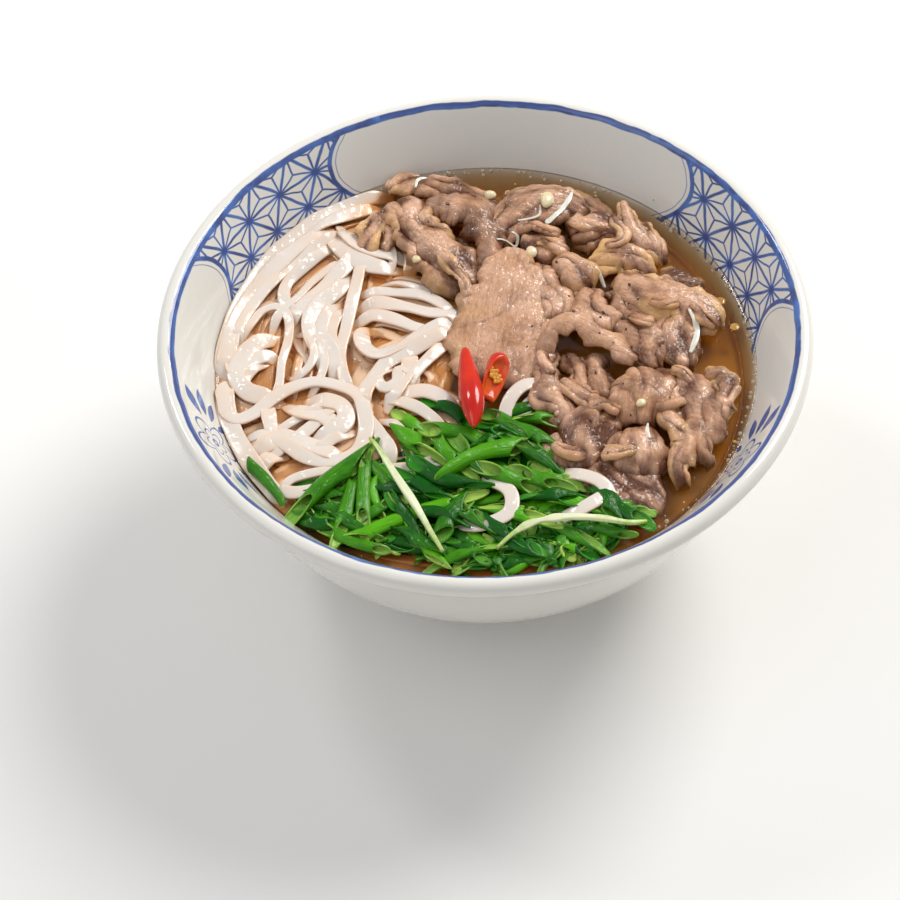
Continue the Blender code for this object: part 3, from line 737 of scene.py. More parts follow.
# Each noodle that shows: its route over the bowl from its lowest layer to its highest.
NOODLE_ROUTES = [
    [(-26, 74), (-36, 71), (-47, 65), (-57, 57), (-66, 46), (-73, 34), (-78, 20), (-80, 8), (-80, -4)],
    [(-28, 69), (-38, 66), (-49, 60), (-59, 51), (-67, 41), (-73, 29), (-77, 16), (-78, 4)],
    [(-79, -2), (-79, -14), (-76, -25), (-71, -36), (-65, -46), (-60, -52)],
    [(-46, 60), (-56, 51), (-65, 41), (-72, 30), (-77, 18), (-79, 6), (-79, -3)],
    [(-42, 58), (-50, 51), (-59, 43), (-66, 35), (-71, 27), (-75, 18), (-76, 9)],
    [(-43, 52), (-50, 47), (-56, 41), (-61, 34), (-61, 27), (-57, 22), (-52, 20)],
    [(-41, 47), (-47, 41), (-53, 35), (-57, 29), (-63, 22), (-66, 14)],
    [(-38, 52), (-41, 43), (-47, 35), (-53, 28), (-58, 22), (-60, 16)],
    [(-40, 40), (-44, 32), (-49, 27), (-53, 20), (-53, 13), (-50, 6), (-48, -3)],
    [(-43, 28), (-48, 21), (-50, 14), (-47, 7), (-46, 0), (-47, -7)],
    [(-40, 26), (-45, 20), (-47, 13), (-45, 6), (-44, -2)],
    [(-78, 8), (-76, 0), (-71, 4), (-66, 6), (-62, 3)],
    [(-76, -30), (-68, -28), (-60, -22), (-53, -17), (-47, -15), (-41, -18)],
    [(-38, -24), (-46, -28), (-52, -32), (-58, -31)],
    [(-42, -12), (-49, -19), (-56, -26), (-62, -31), (-68, -36)],
    [(-62, -12), (-57, -17), (-51, -19), (-46, -23), (-42, -30)],
    [(-72, -35), (-67, -30), (-61, -27), (-54, -30), (-47, -34), (-41, -37)],
    [(-35, -12), (-37, -20), (-33, -27), (-30, -34), (-31, -42)],
    [(-33, -13), (-27, -15), (-20, -19), (-15, -25), (-14, -32)],
    [(-34, -20), (-28, -24), (-24, -30), (-21, -38)],
    [(-30, -10), (-24, -12), (-18, -12), (-12, -16), (-9, -22)],
    [(-38, -44), (-30, -42), (-22, -41), (-13, -39), (-6, -40)],
    [(-60, -32), (-66, -35), (-69, -41), (-67, -48), (-62, -54)],
    [(-70, -42), (-64, -46), (-58, -48), (-50, -46), (-42, -44)],
    [(-35, -38), (-44, -40), (-53, -41), (-60, -44), (-62, -50), (-59, -57)],
    [(-33, 34), (-27, 33), (-20, 31), (-14, 28), (-9, 24)],
    [(-29, 56), (-28, 50), (-27, 43), (-29, 36)],
    [(-46, 57), (-44, 49), (-38, 43), (-31, 40), (-24, 40)],
    [(-44, 60), (-40, 52), (-34, 47), (-27, 45), (-21, 43)],
    [(-40, 30), (-32, 30), (-24, 29), (-17, 27), (-11, 22), (-7, 15)],
    [(-40, 23), (-32, 25), (-24, 23), (-16, 20), (-9, 19), (-5, 13)],
    [(-41, 17), (-34, 20), (-27, 18), (-20, 14), (-12, 13)],
    [(-65, 5), (-70, 1), (-73, -4), (-69, -8), (-63, -9)],
    [(-60, 15), (-54, 13), (-52, 6), (-54, 0), (-58, -3), (-61, -1)],
    [(-62, 14), (-69, 11), (-74, 5), (-76, -2), (-73, -8), (-67, -11), (-61, -13)],
    [(-57, 16), (-51, 10), (-49, 2), (-51, -6), (-55, -12)],
    [(-76, 11), (-72, 18), (-68, 24), (-63, 25), (-60, 20), (-60, 12), (-62, 3), (-63, -7), (-66, -14)],
    [(-37, 46), (-38, 37), (-40, 27), (-42, 16), (-44, 5), (-43, -5), (-40, -13)],
    [(-26, 2), (-29, -1), (-33, -5), (-31, -10), (-27, -8), (-26, -3), (-22, -5), (-22, -12)],
    [(-9, 11), (-14, 5), (-19, -1), (-23, -7), (-26, -13)],
    [(-24, 8), (-23, 1), (-24, -5), (-28, -12), (-31, -18)],
    [(-33, 16), (-37, 14), (-37, 8), (-33, 4), (-27, 6), (-20, 10), (-12, 14), (-6, 17)],
    [(-6, 14), (-14, 10), (-22, 5), (-29, 1), (-33, -4), (-37, -11), (-38, -20)],
    [(-66, -10), (-66, -17), (-65, -24), (-63, -31)],
    [(-56, -12), (-50, -13), (-44, -16), (-43, -22), (-49, -27), (-55, -30)],
    [(-74, -4), (-79, -6), (-80, -13), (-76, -19), (-70, -17), (-65, -12), (-59, -8), (-52, -6), (-45, -8),
     (-39, -12), (-37, -19), (-37, -27), (-40, -34), (-47, -37), (-55, -35), (-61, -30), (-68, -26),
     (-75, -27)],
]
# Ends of noodles that show among the beef and the spring onion, with their heights over the broth.
LOOSE_ROUTES = [
    [(4, -25, 1.5), (7, -17, 3.4), (12, -12.5, 4.0), (18, -13, 3.0), (21, -17, 1.0)],
    [(9, -26, 0.5), (12, -19, 1.8), (17, -16, 2.0), (20, -20, 0.5)],
    [(-6, -47, 1.2), (0, -49, 4.4), (5, -54, 5.0), (4, -61, 4.6), (-4, -64, 3.4), (-10, -62, 1.4)],
    [(20, -45, 1.0), (26, -48, 4.2), (32, -52, 4.6), (34, -59, 3.4), (31, -64, 1.2)],
    [(18, -62, 1.0), (24, -61, 4.0), (31, -57, 4.4), (36, -52, 2.0)],
    [(-23, -38, 1.0), (-15, -39, 2.6), (-8, -38, 2.4), (-2, -41, 1.0)],
]


class NoodleSettings(bpy.types.PropertyGroup):
    width: length("Width", "Usual width of a noodle", 4.9)
    thickness: length("Thickness", "Thickness of a noodle", 1.05)
    hidden: IntProperty(name="Hidden noodles", description="How many lie under those that show", default=90)
    flesh: paint("Flesh", "Colour of the boiled rice", "#E8DCCF")
    starch: paint("Starch", "Colour of the rice where its starch has set", "#ECE2D8")
    # Soaked is partly broth soaked into the rice and partly painted warm shade and glow of the broth between
    # noodles
    soaked: paint("Soaked", "Colour of the rice where broth has soaked in", "#FFB65C")
    glow: paint("Glow", "Colour of the light that comes through a noodle", "#FFD596")


def core_height(x, y):
    """The heap under the loose noodles: high at the left, low under the beef and the onions."""
    left = 1 - smoothstep(-17, -3, x + 0.25 * np.maximum(y - 20, 0))
    front = smoothstep(-36, -46, y + 0.12 * (x + 20))
    back = smoothstep(58, 68, y - 0.2 * x - 8)
    high = mix(-13.5, -2.0 + 0.4 * np.sin(x / 5.3 + 0.6) * np.sin(y / 6.1), left)
    high = mix(high, -3.6, front * smoothstep(50, 38, x))
    return mix(high, np.minimum(high, -8.0), back)


def noodle_material(settings):
    made, tree = new_material("boiled_rice_noodle")
    place = own_place(tree)
    # starch sets a little unevenly, over about 4 mm
    starch = noise(tree, place, 250.0, 2.0)
    pale = blend(tree, starch, settings.flesh, settings.starch)
    # the soaked colour is partly real soaking and partly painted warm shade on the sides and low parts
    soaked = attribute(tree, "soaked")
    pale = blend(tree, soaked, pale, settings.soaked)
    wet = ramp(tree, starch, 0.3, 0.7, 0.12, 0.3)
    bump = bumps(tree, starch, 0.12, 0.0006)
    # a film of broth gleams in spots about 3 mm apart
    film = noise(tree, place, 330.0, 1.0)
    gleam = bumps(tree, film, 0.7, 0.0012)
    shader = add(tree, "BsdfPrincipled", {
        "Base Color": pale, "Roughness": wet, "IOR": 1.4, "Normal": bump, "Coat Weight": 0.7,
        "Coat Roughness": 0.05, "Coat Normal": gleam})
    # a little light goes right through, and comes out warmer
    through = add(tree, "BsdfTranslucent", {"Color": settings.glow, "Normal": bump})
    body = add(tree, "MixShader", {0: 0.08, 1: shader, 2: through})
    return surfaced(made, body)


def wander(draw, start, heading, run):
    """A loose route that turns as it goes."""
    points = [start]
    turn = draw.uniform(-WANDER_BEND, WANDER_BEND)
    for _ in range(int(run / WANDER_STEP)):
        turn = 0.8 * turn + draw.uniform(-WANDER_BEND, WANDER_BEND) * 0.5
        heading += turn
        x, y = points[-1]
        points.append((x + WANDER_STEP * math.cos(heading), y + WANDER_STEP * math.sin(heading)))
    return points


def strip_points(line, height, tilt, width, thickness, sides, squareness=0.5):
    """Points round a flat strip along a line, at these heights over the broth and these tilts."""
    _, side = headings(line)
    centres = np.column_stack((line[:, :2], BROTH_LEVEL + height))
    forward = unit(np.gradient(centres, axis=0))
    sideways = np.column_stack((side, tilt))
    up = unit(np.cross(forward, unit(sideways)))
    return sweep(centres, forward, up, width / 2, thickness / 2, sides, squareness)


def in_noodles(x, y):
    """True where the noodles show, at the left of the bowl."""
    left = x < -14 - 0.25 * np.maximum(y - 20, 0)
    return left | ((x < -2) & (y > 6) & (y < 30)) | ((x < -6) & (np.abs(y) < 30))


def beside(route, gap):
    """A route that keeps about `gap` to one side of another."""
    line = np.array(route, float)
    _, side = headings(line)
    return [tuple(p) for p in line + side * gap]


def lay_noodle(bm, layer, places, stain=0.0):
    """Lays one noodle; its sides and what is near the broth take the soaked colour, partly as broth soaked in
    and partly as painted warm shade, and `stain` adds to it by ring.
    """
    start = len(bm.verts)
    lay_tube(bm, places)
    rings, sides = places.shape[:2]
    _, ring, side = tube_template(sides, rings, True)
    over = places[ring, side, 2] - BROTH_LEVEL
    # painted shade: the sides of a noodle take more of the warm soaked colour
    flank_shade = np.abs(np.cos(side * math.tau / sides)) ** 2.5
    stain = np.broadcast_to(stain, rings)[ring]
    soaked = np.clip(0.95 * smoothstep(1.7, -1.4, over) + 0.3 * flank_shade + stain - 0.04, 0, 0.9)
    for v, value in zip(bm.verts[start:], soaked):
        v[layer] = value


class SOUP_OT_noodles(bpy.types.Operator):
    """The noodles, laid one on another over a smaller core"""
    bl_idname = "soup.noodles"
    bl_label = "Noodles"

    def execute(self, context):
        settings = context.scene.soup_noodles
        finish = noodle_material(settings)
        draw = random.Random(NOODLE_SEED)
        bed = Bed(core_height)
        bm, (soaked,) = painted_mesh("soaked")
        routes = []
        while len(routes) < settings.hidden:
            start = (draw.uniform(-76, -12), draw.uniform(-56, 56))
            if len(routes) % 3 == 0:
                start = (draw.uniform(-50, 38), draw.uniform(-72, -36))
            route = wander(draw, start, draw.uniform(0, math.tau), draw.uniform(40, 90))
            route = [p for p in route if math.hypot(*p) < 77
                     and (in_noodles(*p) or p[1] < -34 and p[0] < 40)]
            if len(route) > SHORTEST_ROUTE:
                routes.append(route)
        under = [beside(route, side * draw.uniform(3.5, 6.5)) for route in NOODLE_ROUTES
                 for side in (-1, 1)]
        draw.shuffle(under)
        first_shown = len(routes) + len(under)
        for number, route in enumerate(routes + under + NOODLE_ROUTES):
            shown = number >= first_shown
            line = even_curve(route, NOODLE_STEP)
            line = line[np.hypot(line[:, 0], line[:, 1]) < NOODLE_REACH]
            if len(line) < SHORTEST_LINE:
                continue
            run = np.linspace(0, 1, len(line))
            width = settings.width * draw.choice(NOODLE_WIDTHS)
            if number == first_shown:
                bed.fill(in_noodles, -1.2)
            height, tilt = lie_down(bed, line, width, settings.thickness, 6, 0.75 if shown else 0.35)
            if not shown:
                most = HIDDEN_TOP if number < len(routes) else UNDER_TOP
                height = np.minimum(height, draw.uniform(*most))
            # each end dives under what lies round it
            from_end = np.minimum(run, 1 - run) * len(line) * NOODLE_STEP
            height = height - DIVE * smoothstep(DIVE_RUN, 0.0, from_end)
            uneven = 1 + 0.07 * np.sin(run * draw.uniform(9, 16) + draw.uniform(0, 6))
            uneven = uneven * mix(0.55, 1.0, smoothstep(0.0, 7.0, from_end))
            tilt = tilt + 0.22 * np.sin(run * len(line) / draw.uniform(7, 12) + draw.uniform(0, 6))
            thick = settings.thickness * (1 + 0.12 * np.sin(run * 21 + number))
            stain = draw.uniform(0, 0.12) + 0.08 * np.sin(run * len(line) / draw.uniform(3, 6))
            # what is covered is made of fewer rings and sides
            each, sides = (1, NOODLE_SIDES) if shown else (2, HIDDEN_SIDES)
            places = strip_points(line[::each], height[::each], tilt[::each], (width * uneven)[::each],
                                  thick[::each], sides)
            lay_noodle(bm, soaked, places, stain[::each])
        for route in LOOSE_ROUTES:
            line = even_curve(route, NOODLE_STEP)
            places = strip_points(line, line[:, 2], np.zeros(len(line)), settings.width * 0.9,
                                  settings.thickness, NOODLE_SIDES)
            lay_noodle(bm, soaked, places)
        finish_mesh(bm, "noodles_strands", finish, ["noodles"])
        make_core(finish)
        return {"FINISHED"}


def make_core(finish):
    """The heap under the loose noodles, as one lumpy closed form."""
    bm, (soaked,) = painted_mesh("soaked")
    verts, places, high = doubled_grid(bm, 70, 70)
    x, y = np.array(drawn_to_disc(places)) * CORE_REACH
    floor = wall_height(np.hypot(x, y)) + 0.4
    top = np.maximum(BROTH_LEVEL + core_height(x, y) + 0.5 * waves(np.column_stack((x, y)), 9.0, 5),
                     floor + 0.3)
    for vert, px, py, low, tall in zip(verts, x, y, floor, top):
        vert.co = (px, py, tall if vert in high else low)
        # the heap takes much of the soaked colour: partly broth soaked in, partly a painted warm glow for the
        # pools between noodles
        vert[soaked] = 0.6
    bmesh.ops.recalc_face_normals(bm, faces=list(bm.faces))
    finish_mesh(bm, "noodles_core", finish, ["noodles"])


# ---- the beef ----
# Shade in the folds, in low places and at the sides is painted into the meat's colour.
# Thin slices of poached beef, folded and ruffled: a moist grey-brown with a coarse grain along the muscle,
# a wet sparkle on the grain, and paler sinew at some edges.
# Each slice is a strip along a curve: its path has rows of x, y, height over the broth, and width. Its other
# values are the arch across it, how many folds run along it and how deep, how strongly it is ruffled, how
# much of it is fat and sinew, and how much paler it is. A thin one has thinner sides and ends.
BEEF = {
    "hood": dict(arch=1.6, folds=0, depth=0.0, ruffle=0.35, sinew=0.2, thin=True, path=[(18.5, -1, 5, 4),
        (20, 4, 8, 4.5), (24.5, 7, 9.5, 5), (30, 5.5, 10, 5.5), (36, 1, 9.5, 5.5), (41, -4, 8.5, 5),
        (45, -8, 7.5, 4)]),
    "centre_lobe": dict(arch=3.5, depth=0.8, ruffle=0.35, sinew=0.0, path=[(44, -9, 5, 7), (46, -15, 8, 14),
        (45, -22, 9, 14), (43.5, -30, 6, 10)]),
    "spike": dict(arch=1.2, sinew=0.6, path=[(46.5, 58, 8, 1.8), (47, 53, 7, 4), (49.5, 48, 6, 6),
        (53.5, 43, 5, 6), (57, 37, 2.5, 4)]),
    "roll_hook": dict(arch=3.2, folds=0, depth=0.0, ruffle=0.3, sinew=0.0, pale=-0.25, path=[
        (-17, 62, 5, 8), (-10, 62, 7, 9.5), (-3, 59.5, 8, 9.5), (1.5, 53, 8, 8.5), (3, 46, 7, 8.5),
        (5, 38, 4.5, 7)]),
    "strip_left": dict(arch=2.0, depth=2.0, ruffle=0.5, sinew=0.4, pale=-0.1, path=[(-26, 66, 6, 14),
        (-20.5, 56, 7.5, 12), (-15.5, 46, 7, 13), (-9.5, 37, 6, 15), (-4, 28, 4, 11)]),
    "wall_curl": dict(arch=1.0, sinew=0.6, thin=True, path=[(-28, 72.5, 3.2, 4), (-23, 74.5, 4, 6),
        (-17, 77, 4, 4)]),
    "strip_back": dict(arch=2.0, depth=1.2, ruffle=0.5, pale=-0.22, path=[(-19, 73, 5, 6),
        (-10, 70.5, 5.5, 8), (-2, 66.5, 5, 8), (5, 60.5, 4, 7), (9, 56, 2, 4)]),
    "under_hook": dict(folds=0, depth=0.0, ruffle=0.3, sinew=0.0, pale=-0.3, path=[(-10, 51.5, 0.5, 7),
        (-5.5, 46, 2, 9), (-1, 39.5, 2, 9), (3, 34, 1, 7)]),
    "thin_curl": dict(arch=1.6, depth=0.8, sinew=0.5, path=[(58.5, -25, 5, 4), (54, -28, 6, 5),
        (55, -34, 7, 5), (57.5, -39.5, 7, 5.5), (54.5, -46, 6, 5.5), (56, -52, 4, 5)]),
    "right_lobe": dict(arch=3.0, depth=0.8, ruffle=0.4, path=[(58, -9, 3.5, 5), (60.5, -15, 5, 9),
        (62.5, -23, 7, 11), (62.5, -31, 7, 11.5), (61.5, -38, 6, 9), (61, -44, 3, 5)]),
    "edge_curls": dict(arch=1.8, depth=1.2, sinew=0.6, path=[(66, -11, 3, 5), (71, -12, 4, 7),
        (71.5, -18, 4, 6), (69, -23, 4, 6), (69.5, -29, 3, 4)]),
    "big_right": dict(arch=2.0, depth=0.5, ruffle=0.6, sinew=0.8, pale=0.15, path=[(42.5, 30, 4.5, 4),
        (47, 25.5, 6, 10), (53, 20, 7, 13), (60, 18, 6, 12), (67, 14, 5, 12), (72.5, 8.5, 3.5, 7)]),
    "mid_right": dict(path=[(56.5, 13, 3, 9), (58.5, 6, 4.5, 12), (60, -1, 4, 9), (61, -7, 3, 5)]),
    "panel_left": dict(arch=2.0, depth=1.2, ruffle=0.35, path=[(17, 37, 3, 5), (20, 30, 5, 7),
        (22.5, 22, 6, 7.5), (23, 13, 6, 8)]),
    "panel_lobes": dict(arch=2.5, depth=1.2, ruffle=0.4, sinew=0.6, path=[(23, 36, 3, 6), (27, 35, 5.5, 9),
        (31, 30, 7, 10), (34, 26, 5, 6)]),
    "panel_mid": dict(ruffle=0.4, path=[(31, 25, 4.5, 8), (33, 18, 5.5, 10), (35, 11, 6, 10),
        (37, 6, 5, 7)]),
    "panel_right": dict(arch=1.6, depth=1.2, ruffle=0.4, pale=-0.1, path=[(42.5, 26, 3, 7), (44, 19, 4, 9),
        (46, 12, 5, 11), (48, 5, 5, 12), (49.5, -1, 4.5, 10), (51.5, -7, 3, 6)]),
    "inner_fold_a": dict(arch=1.8, path=[(25.5, 1, 2.5, 5), (27, -6, 4, 5), (28, -12, 3.5, 5),
        (29, -18, 2, 4)]),
    "inner_fold_b": dict(arch=2.2, path=[(33, -1, 3, 6), (33.5, -7, 4.5, 6.5), (34, -13, 5, 6.5),
        (36, -19, 3, 6)]),
    "left_side": dict(arch=1.6, path=[(18.5, 7, 3, 4), (19, 1, 3.5, 5), (18.5, -5, 4, 5), (18, -11, 5, 6.5),
        (19, -18, 5, 8), (23, -24, 4.5, 7), (21.5, -30, 3, 7)]),
    "short_strip": dict(arch=1.2, path=[(22.5, -12, 5, 4), (26, -16.5, 6, 4.5), (30, -20, 6, 5),
        (33.5, -20, 4.5, 4)]),
    "side_lobe": dict(arch=2.0, path=[(52, -8, 3, 6), (54, -14, 5, 8), (52.5, -20, 5, 8), (50, -25, 3, 5)]),
    "dark_lobe_a": dict(arch=2.0, depth=0.7, ruffle=0.6, sinew=0.0, pale=-0.25, path=[(36, -22, 4, 9),
        (31.5, -29, 6, 14), (29, -37, 5, 14), (30, -44, 2.5, 10)]),
    "dark_lobe_b": dict(arch=1.8, depth=0.7, ruffle=0.6, sinew=0.0, pale=-0.15, path=[(42, -32, 4.5, 11),
        (43, -38, 6, 14), (43.5, -44, 4.5, 13), (43, -48, 2.5, 10)]),
    "low_slice": dict(arch=0.4, depth=0.7, ruffle=0.6, sinew=0.0, pale=-0.1, path=[(31, -42, 2.2, 10),
        (36, -49, 2.8, 17), (41, -55, 2.4, 17), (45, -62, 0.6, 10)]),
    "onion_side": dict(arch=1.6, path=[(18.5, -31.5, 2.5, 6), (20, -35.5, 3.5, 9), (20.3, -40, 3, 9),
        (20, -45, 1.5, 7)]),
    "flat_large": dict(arch=1.2, depth=0.3, ruffle=0.16, sinew=0.25, pale=0.36, path=[(9.5, 44, 5, 5),
        (9.5, 37, 6, 13), (9.5, 28, 6, 18), (7.5, 18, 5, 24), (5.5, 8, 4, 26), (4, -2, 3, 25),
        (2.5, -10, 1.8, 21)]),
    "back_fold": dict(arch=2.2, depth=0.9, ruffle=0.4, pale=-0.1, path=[(6.5, 46, 2.5, 7), (9, 54, 5.5, 10),
        (15, 60, 6.5, 13), (23, 61.5, 6.5, 13), (30, 60, 5, 11), (33.5, 57, 2.5, 7)]),
    "ruffle_mid": dict(arch=1.4, depth=1.2, ruffle=0.6, sinew=0.4, pale=-0.2, path=[(14.5, 50, 3.5, 5),
        (19, 47.5, 3.5, 9), (23, 44, 3, 10), (27, 42, 1.5, 6)]),
    "back_lump": dict(arch=2.6, depth=1.4, pale=-0.22, path=[(29.5, 49, 3, 7), (35, 50, 5.5, 12),
        (41, 49, 5, 10), (46, 47.5, 3.5, 6)]),
    "fatty_slice": dict(arch=2.0, depth=1.3, ruffle=0.45, sinew=1.0, path=[(34, 37, 2, 6),
        (40, 38, 4.5, 10), (46, 38.5, 5, 11), (50, 35.5, 3.5, 9), (52.5, 32, 1.5, 6)]),
    "sunk_leaf": dict(arch=0.6, folds=0, depth=0.0, ruffle=0.2, sinew=0.5, path=[(56, 32.5, 0.4, 5),
        (61, 31, 0.2, 7), (66, 29, -0.3, 6), (69.5, 27.5, -0.6, 3)]),
    "sunk_back": dict(arch=0.6, depth=0.4, ruffle=0.3, sinew=0.6, path=[(9, 69, -0.4, 5), (17, 70, -0.2, 6),
        (27, 68, -0.4, 9), (36, 60.5, -0.5, 13), (41, 54, -0.8, 9)]),
}
# Scraps and ragged ends on and between the slices, in the same rows.
BEEF_SCRAPS = [
    [(-37, 47, 2.6, 4), (-34, 52, 4.6, 6.5), (-32, 57, 4.4, 6), (-30, 62, 3.0, 4)],
    [(-30, 47, 3.0, 3.5), (-28, 52, 4.6, 5), (-29, 57, 4.2, 4)],
    [(13, 52, 4.5, 2), (17, 52, 6, 2.6), (21, 50, 6, 2.6), (26, 48, 4.5, 2)],
    [(20, 47, 4.5, 3), (23, 43, 5, 4), (28, 41, 4, 3)],
    [(33, 56, 5, 3), (31, 51, 6.8, 4), (37, 50, 7, 4), (42, 51, 5, 3)],
    [(44, 55, 6, 1.5), (44, 51, 6.5, 2.6), (46, 47, 6, 3.5), (45, 43, 6, 3), (40, 41, 6.2, 2.5)],
    [(53, 51, 5, 3), (54, 46, 5.4, 4), (57, 41, 4, 3), (58, 36, 2.4, 2)],
    [(17, -1, 5.4, 1.6), (18, -6, 6.2, 2.6), (20, -10, 6, 2.2)],
    [(56, -11, 5.2, 2), (59, -12.5, 6, 3), (62, -16, 5, 2.5)],
    [(50, -25, 6, 2), (54, -25.5, 7.4, 3), (58.5, -23.5, 6.6, 2)],
    [(30, -24, 7.4, 3), (35, -24, 8.2, 4), (39, -27, 7.4, 3)],
    [(33, -41, 6, 3), (38, -43, 7, 4), (42, -41, 6.4, 3)],
    [(18, -37, 4.4, 2.5), (23, -40, 5, 3.5), (28, -40, 4.6, 3)],
    [(45, 12, 6, 2), (48, 9, 7.2, 3), (52, 8, 6.2, 2.5)],
    [(64, 14, 6.5, 2), (67, 10, 6.6, 3), (71, 7, 5, 3)],
    [(52, 16, 7.4, 2), (56, 14, 7.8, 3), (60, 15, 7.2, 2)],
    [(-27, 62, 6.2, 3), (-24, 57, 8, 3.4), (-20, 52, 8.4, 3), (-17, 47, 7.8, 2.4)],
    [(-13, 41, 7.8, 2.4), (-9, 35, 8, 3), (-5, 28, 6.6, 3), (-4, 23, 4.8, 2)],
]


class BeefSettings(bpy.types.PropertyGroup):
    grid: length("Grid", "Size of the mesh on a slice", 0.62, 0.2, 3.0)
    thickness: length("Thickness", "Thickness of a slice", 1.8)
    wider: FloatProperty(name="Spread", description="How far the slices spread", default=1.3)
    lean: paint("Lean", "Colour of the lean meat", "#CE9C77")
    # Dark is painted shade in the folds, low places and sides, and it also darkens the flecks of the grain
    dark: paint("Dark", "Colour of the lean meat in its folds", "#63361A")
    pink: paint("Pink", "Colour of the least cooked meat", "#ECBD9D")
    sinew: paint("Sinew", "Colour of fat and sinew", "#E8B97E")


def beef_material(settings):
    made, tree = new_material("poached_beef")
    place = own_place(tree)
    # the fibres of the cut muscle, about 1 mm across, run the length of the slice
    run = attribute(tree, "run")
    off = attribute(tree, "off")
    fibre = add(tree, "CombineXYZ", {0: calc(tree, "MULTIPLY", run, 0.5), 1: off})
    grain = noise(tree, fibre, 1.0, 4.0, Roughness=0.65, Distortion=1.0)
    patch = noise(tree, place, 95.0, 3.0)
    fold_shade_and_tone = attribute(tree, "fold_shade_and_tone")
    fat = attribute(tree, "sinew")
    tone = ramp(tree, patch, 0.36, 0.66)
    lean = blend(tree, tone, settings.lean, settings.pink)
    # painted shade: the dark colour fills the creases, the low places and the sides of each slice
    deep = ramp(tree, fold_shade_and_tone, 0.15, 0.85)
    lean = blend(tree, deep, settings.dark, lean)
    speck = ramp(tree, grain, 0.3, 0.62)
    lean = blend(tree, calc(tree, "MULTIPLY_ADD", speck, 0.35, 0.65), settings.dark, lean)
    base = blend(tree, fat, lean, settings.sinew)
    wet = ramp(tree, grain, 0.35, 0.65, 0.22, 0.5)
    bump = bumps(tree, grain, 0.8, 0.0008)
    # the wet film evens out the grain, and gleams in spots about 2 mm apart
    film = noise(tree, place, 620.0, 1.0)
    gleam = bumps(tree, film, 0.6, 0.0011)
    soaked = ramp(tree, patch, 0.4, 0.6, 0.2, 0.8)
    shader = add(tree, "BsdfPrincipled", {
        "Base Color": base, "Roughness": wet, "IOR": 1.42, "Specular IOR Level": 0.35, "Normal": bump,
        "Subsurface Weight": 0.2, "Subsurface Radius": (1.0, 0.4, 0.25), "Subsurface Scale": 0.0016,
        "Coat Weight": soaked, "Coat Roughness": 0.07, "Coat Normal": gleam})
    return surfaced(made, shader)


# What each vertex knows: its painted shade from the folds, how much sinew, and where along and across.
ATTRIBUTES = ("fold_shade_and_tone", "sinew", "run", "off")
FIRST_SLICE_SEED, FIRST_SCRAP_SEED = 100, 700
BEEF_TOP = Bed(lambda x, y: -0.3 + 0 * x)


def sheet_template(along, across):
    """A closed sheet: a grid above, one below and a rim, with each vertex's row, column and layer."""
    bm, layers = painted_mesh(*ATTRIBUTES)
    verts, flat, high = doubled_grid(bm, along, across)
    row = np.rint((flat[:, 0] + 1) / 2 * along).astype(int)
    column = np.rint((flat[:, 1] + 1) / 2 * across).astype(int)
    return bm, layers, zip(verts, row, column, (v in high for v in verts))


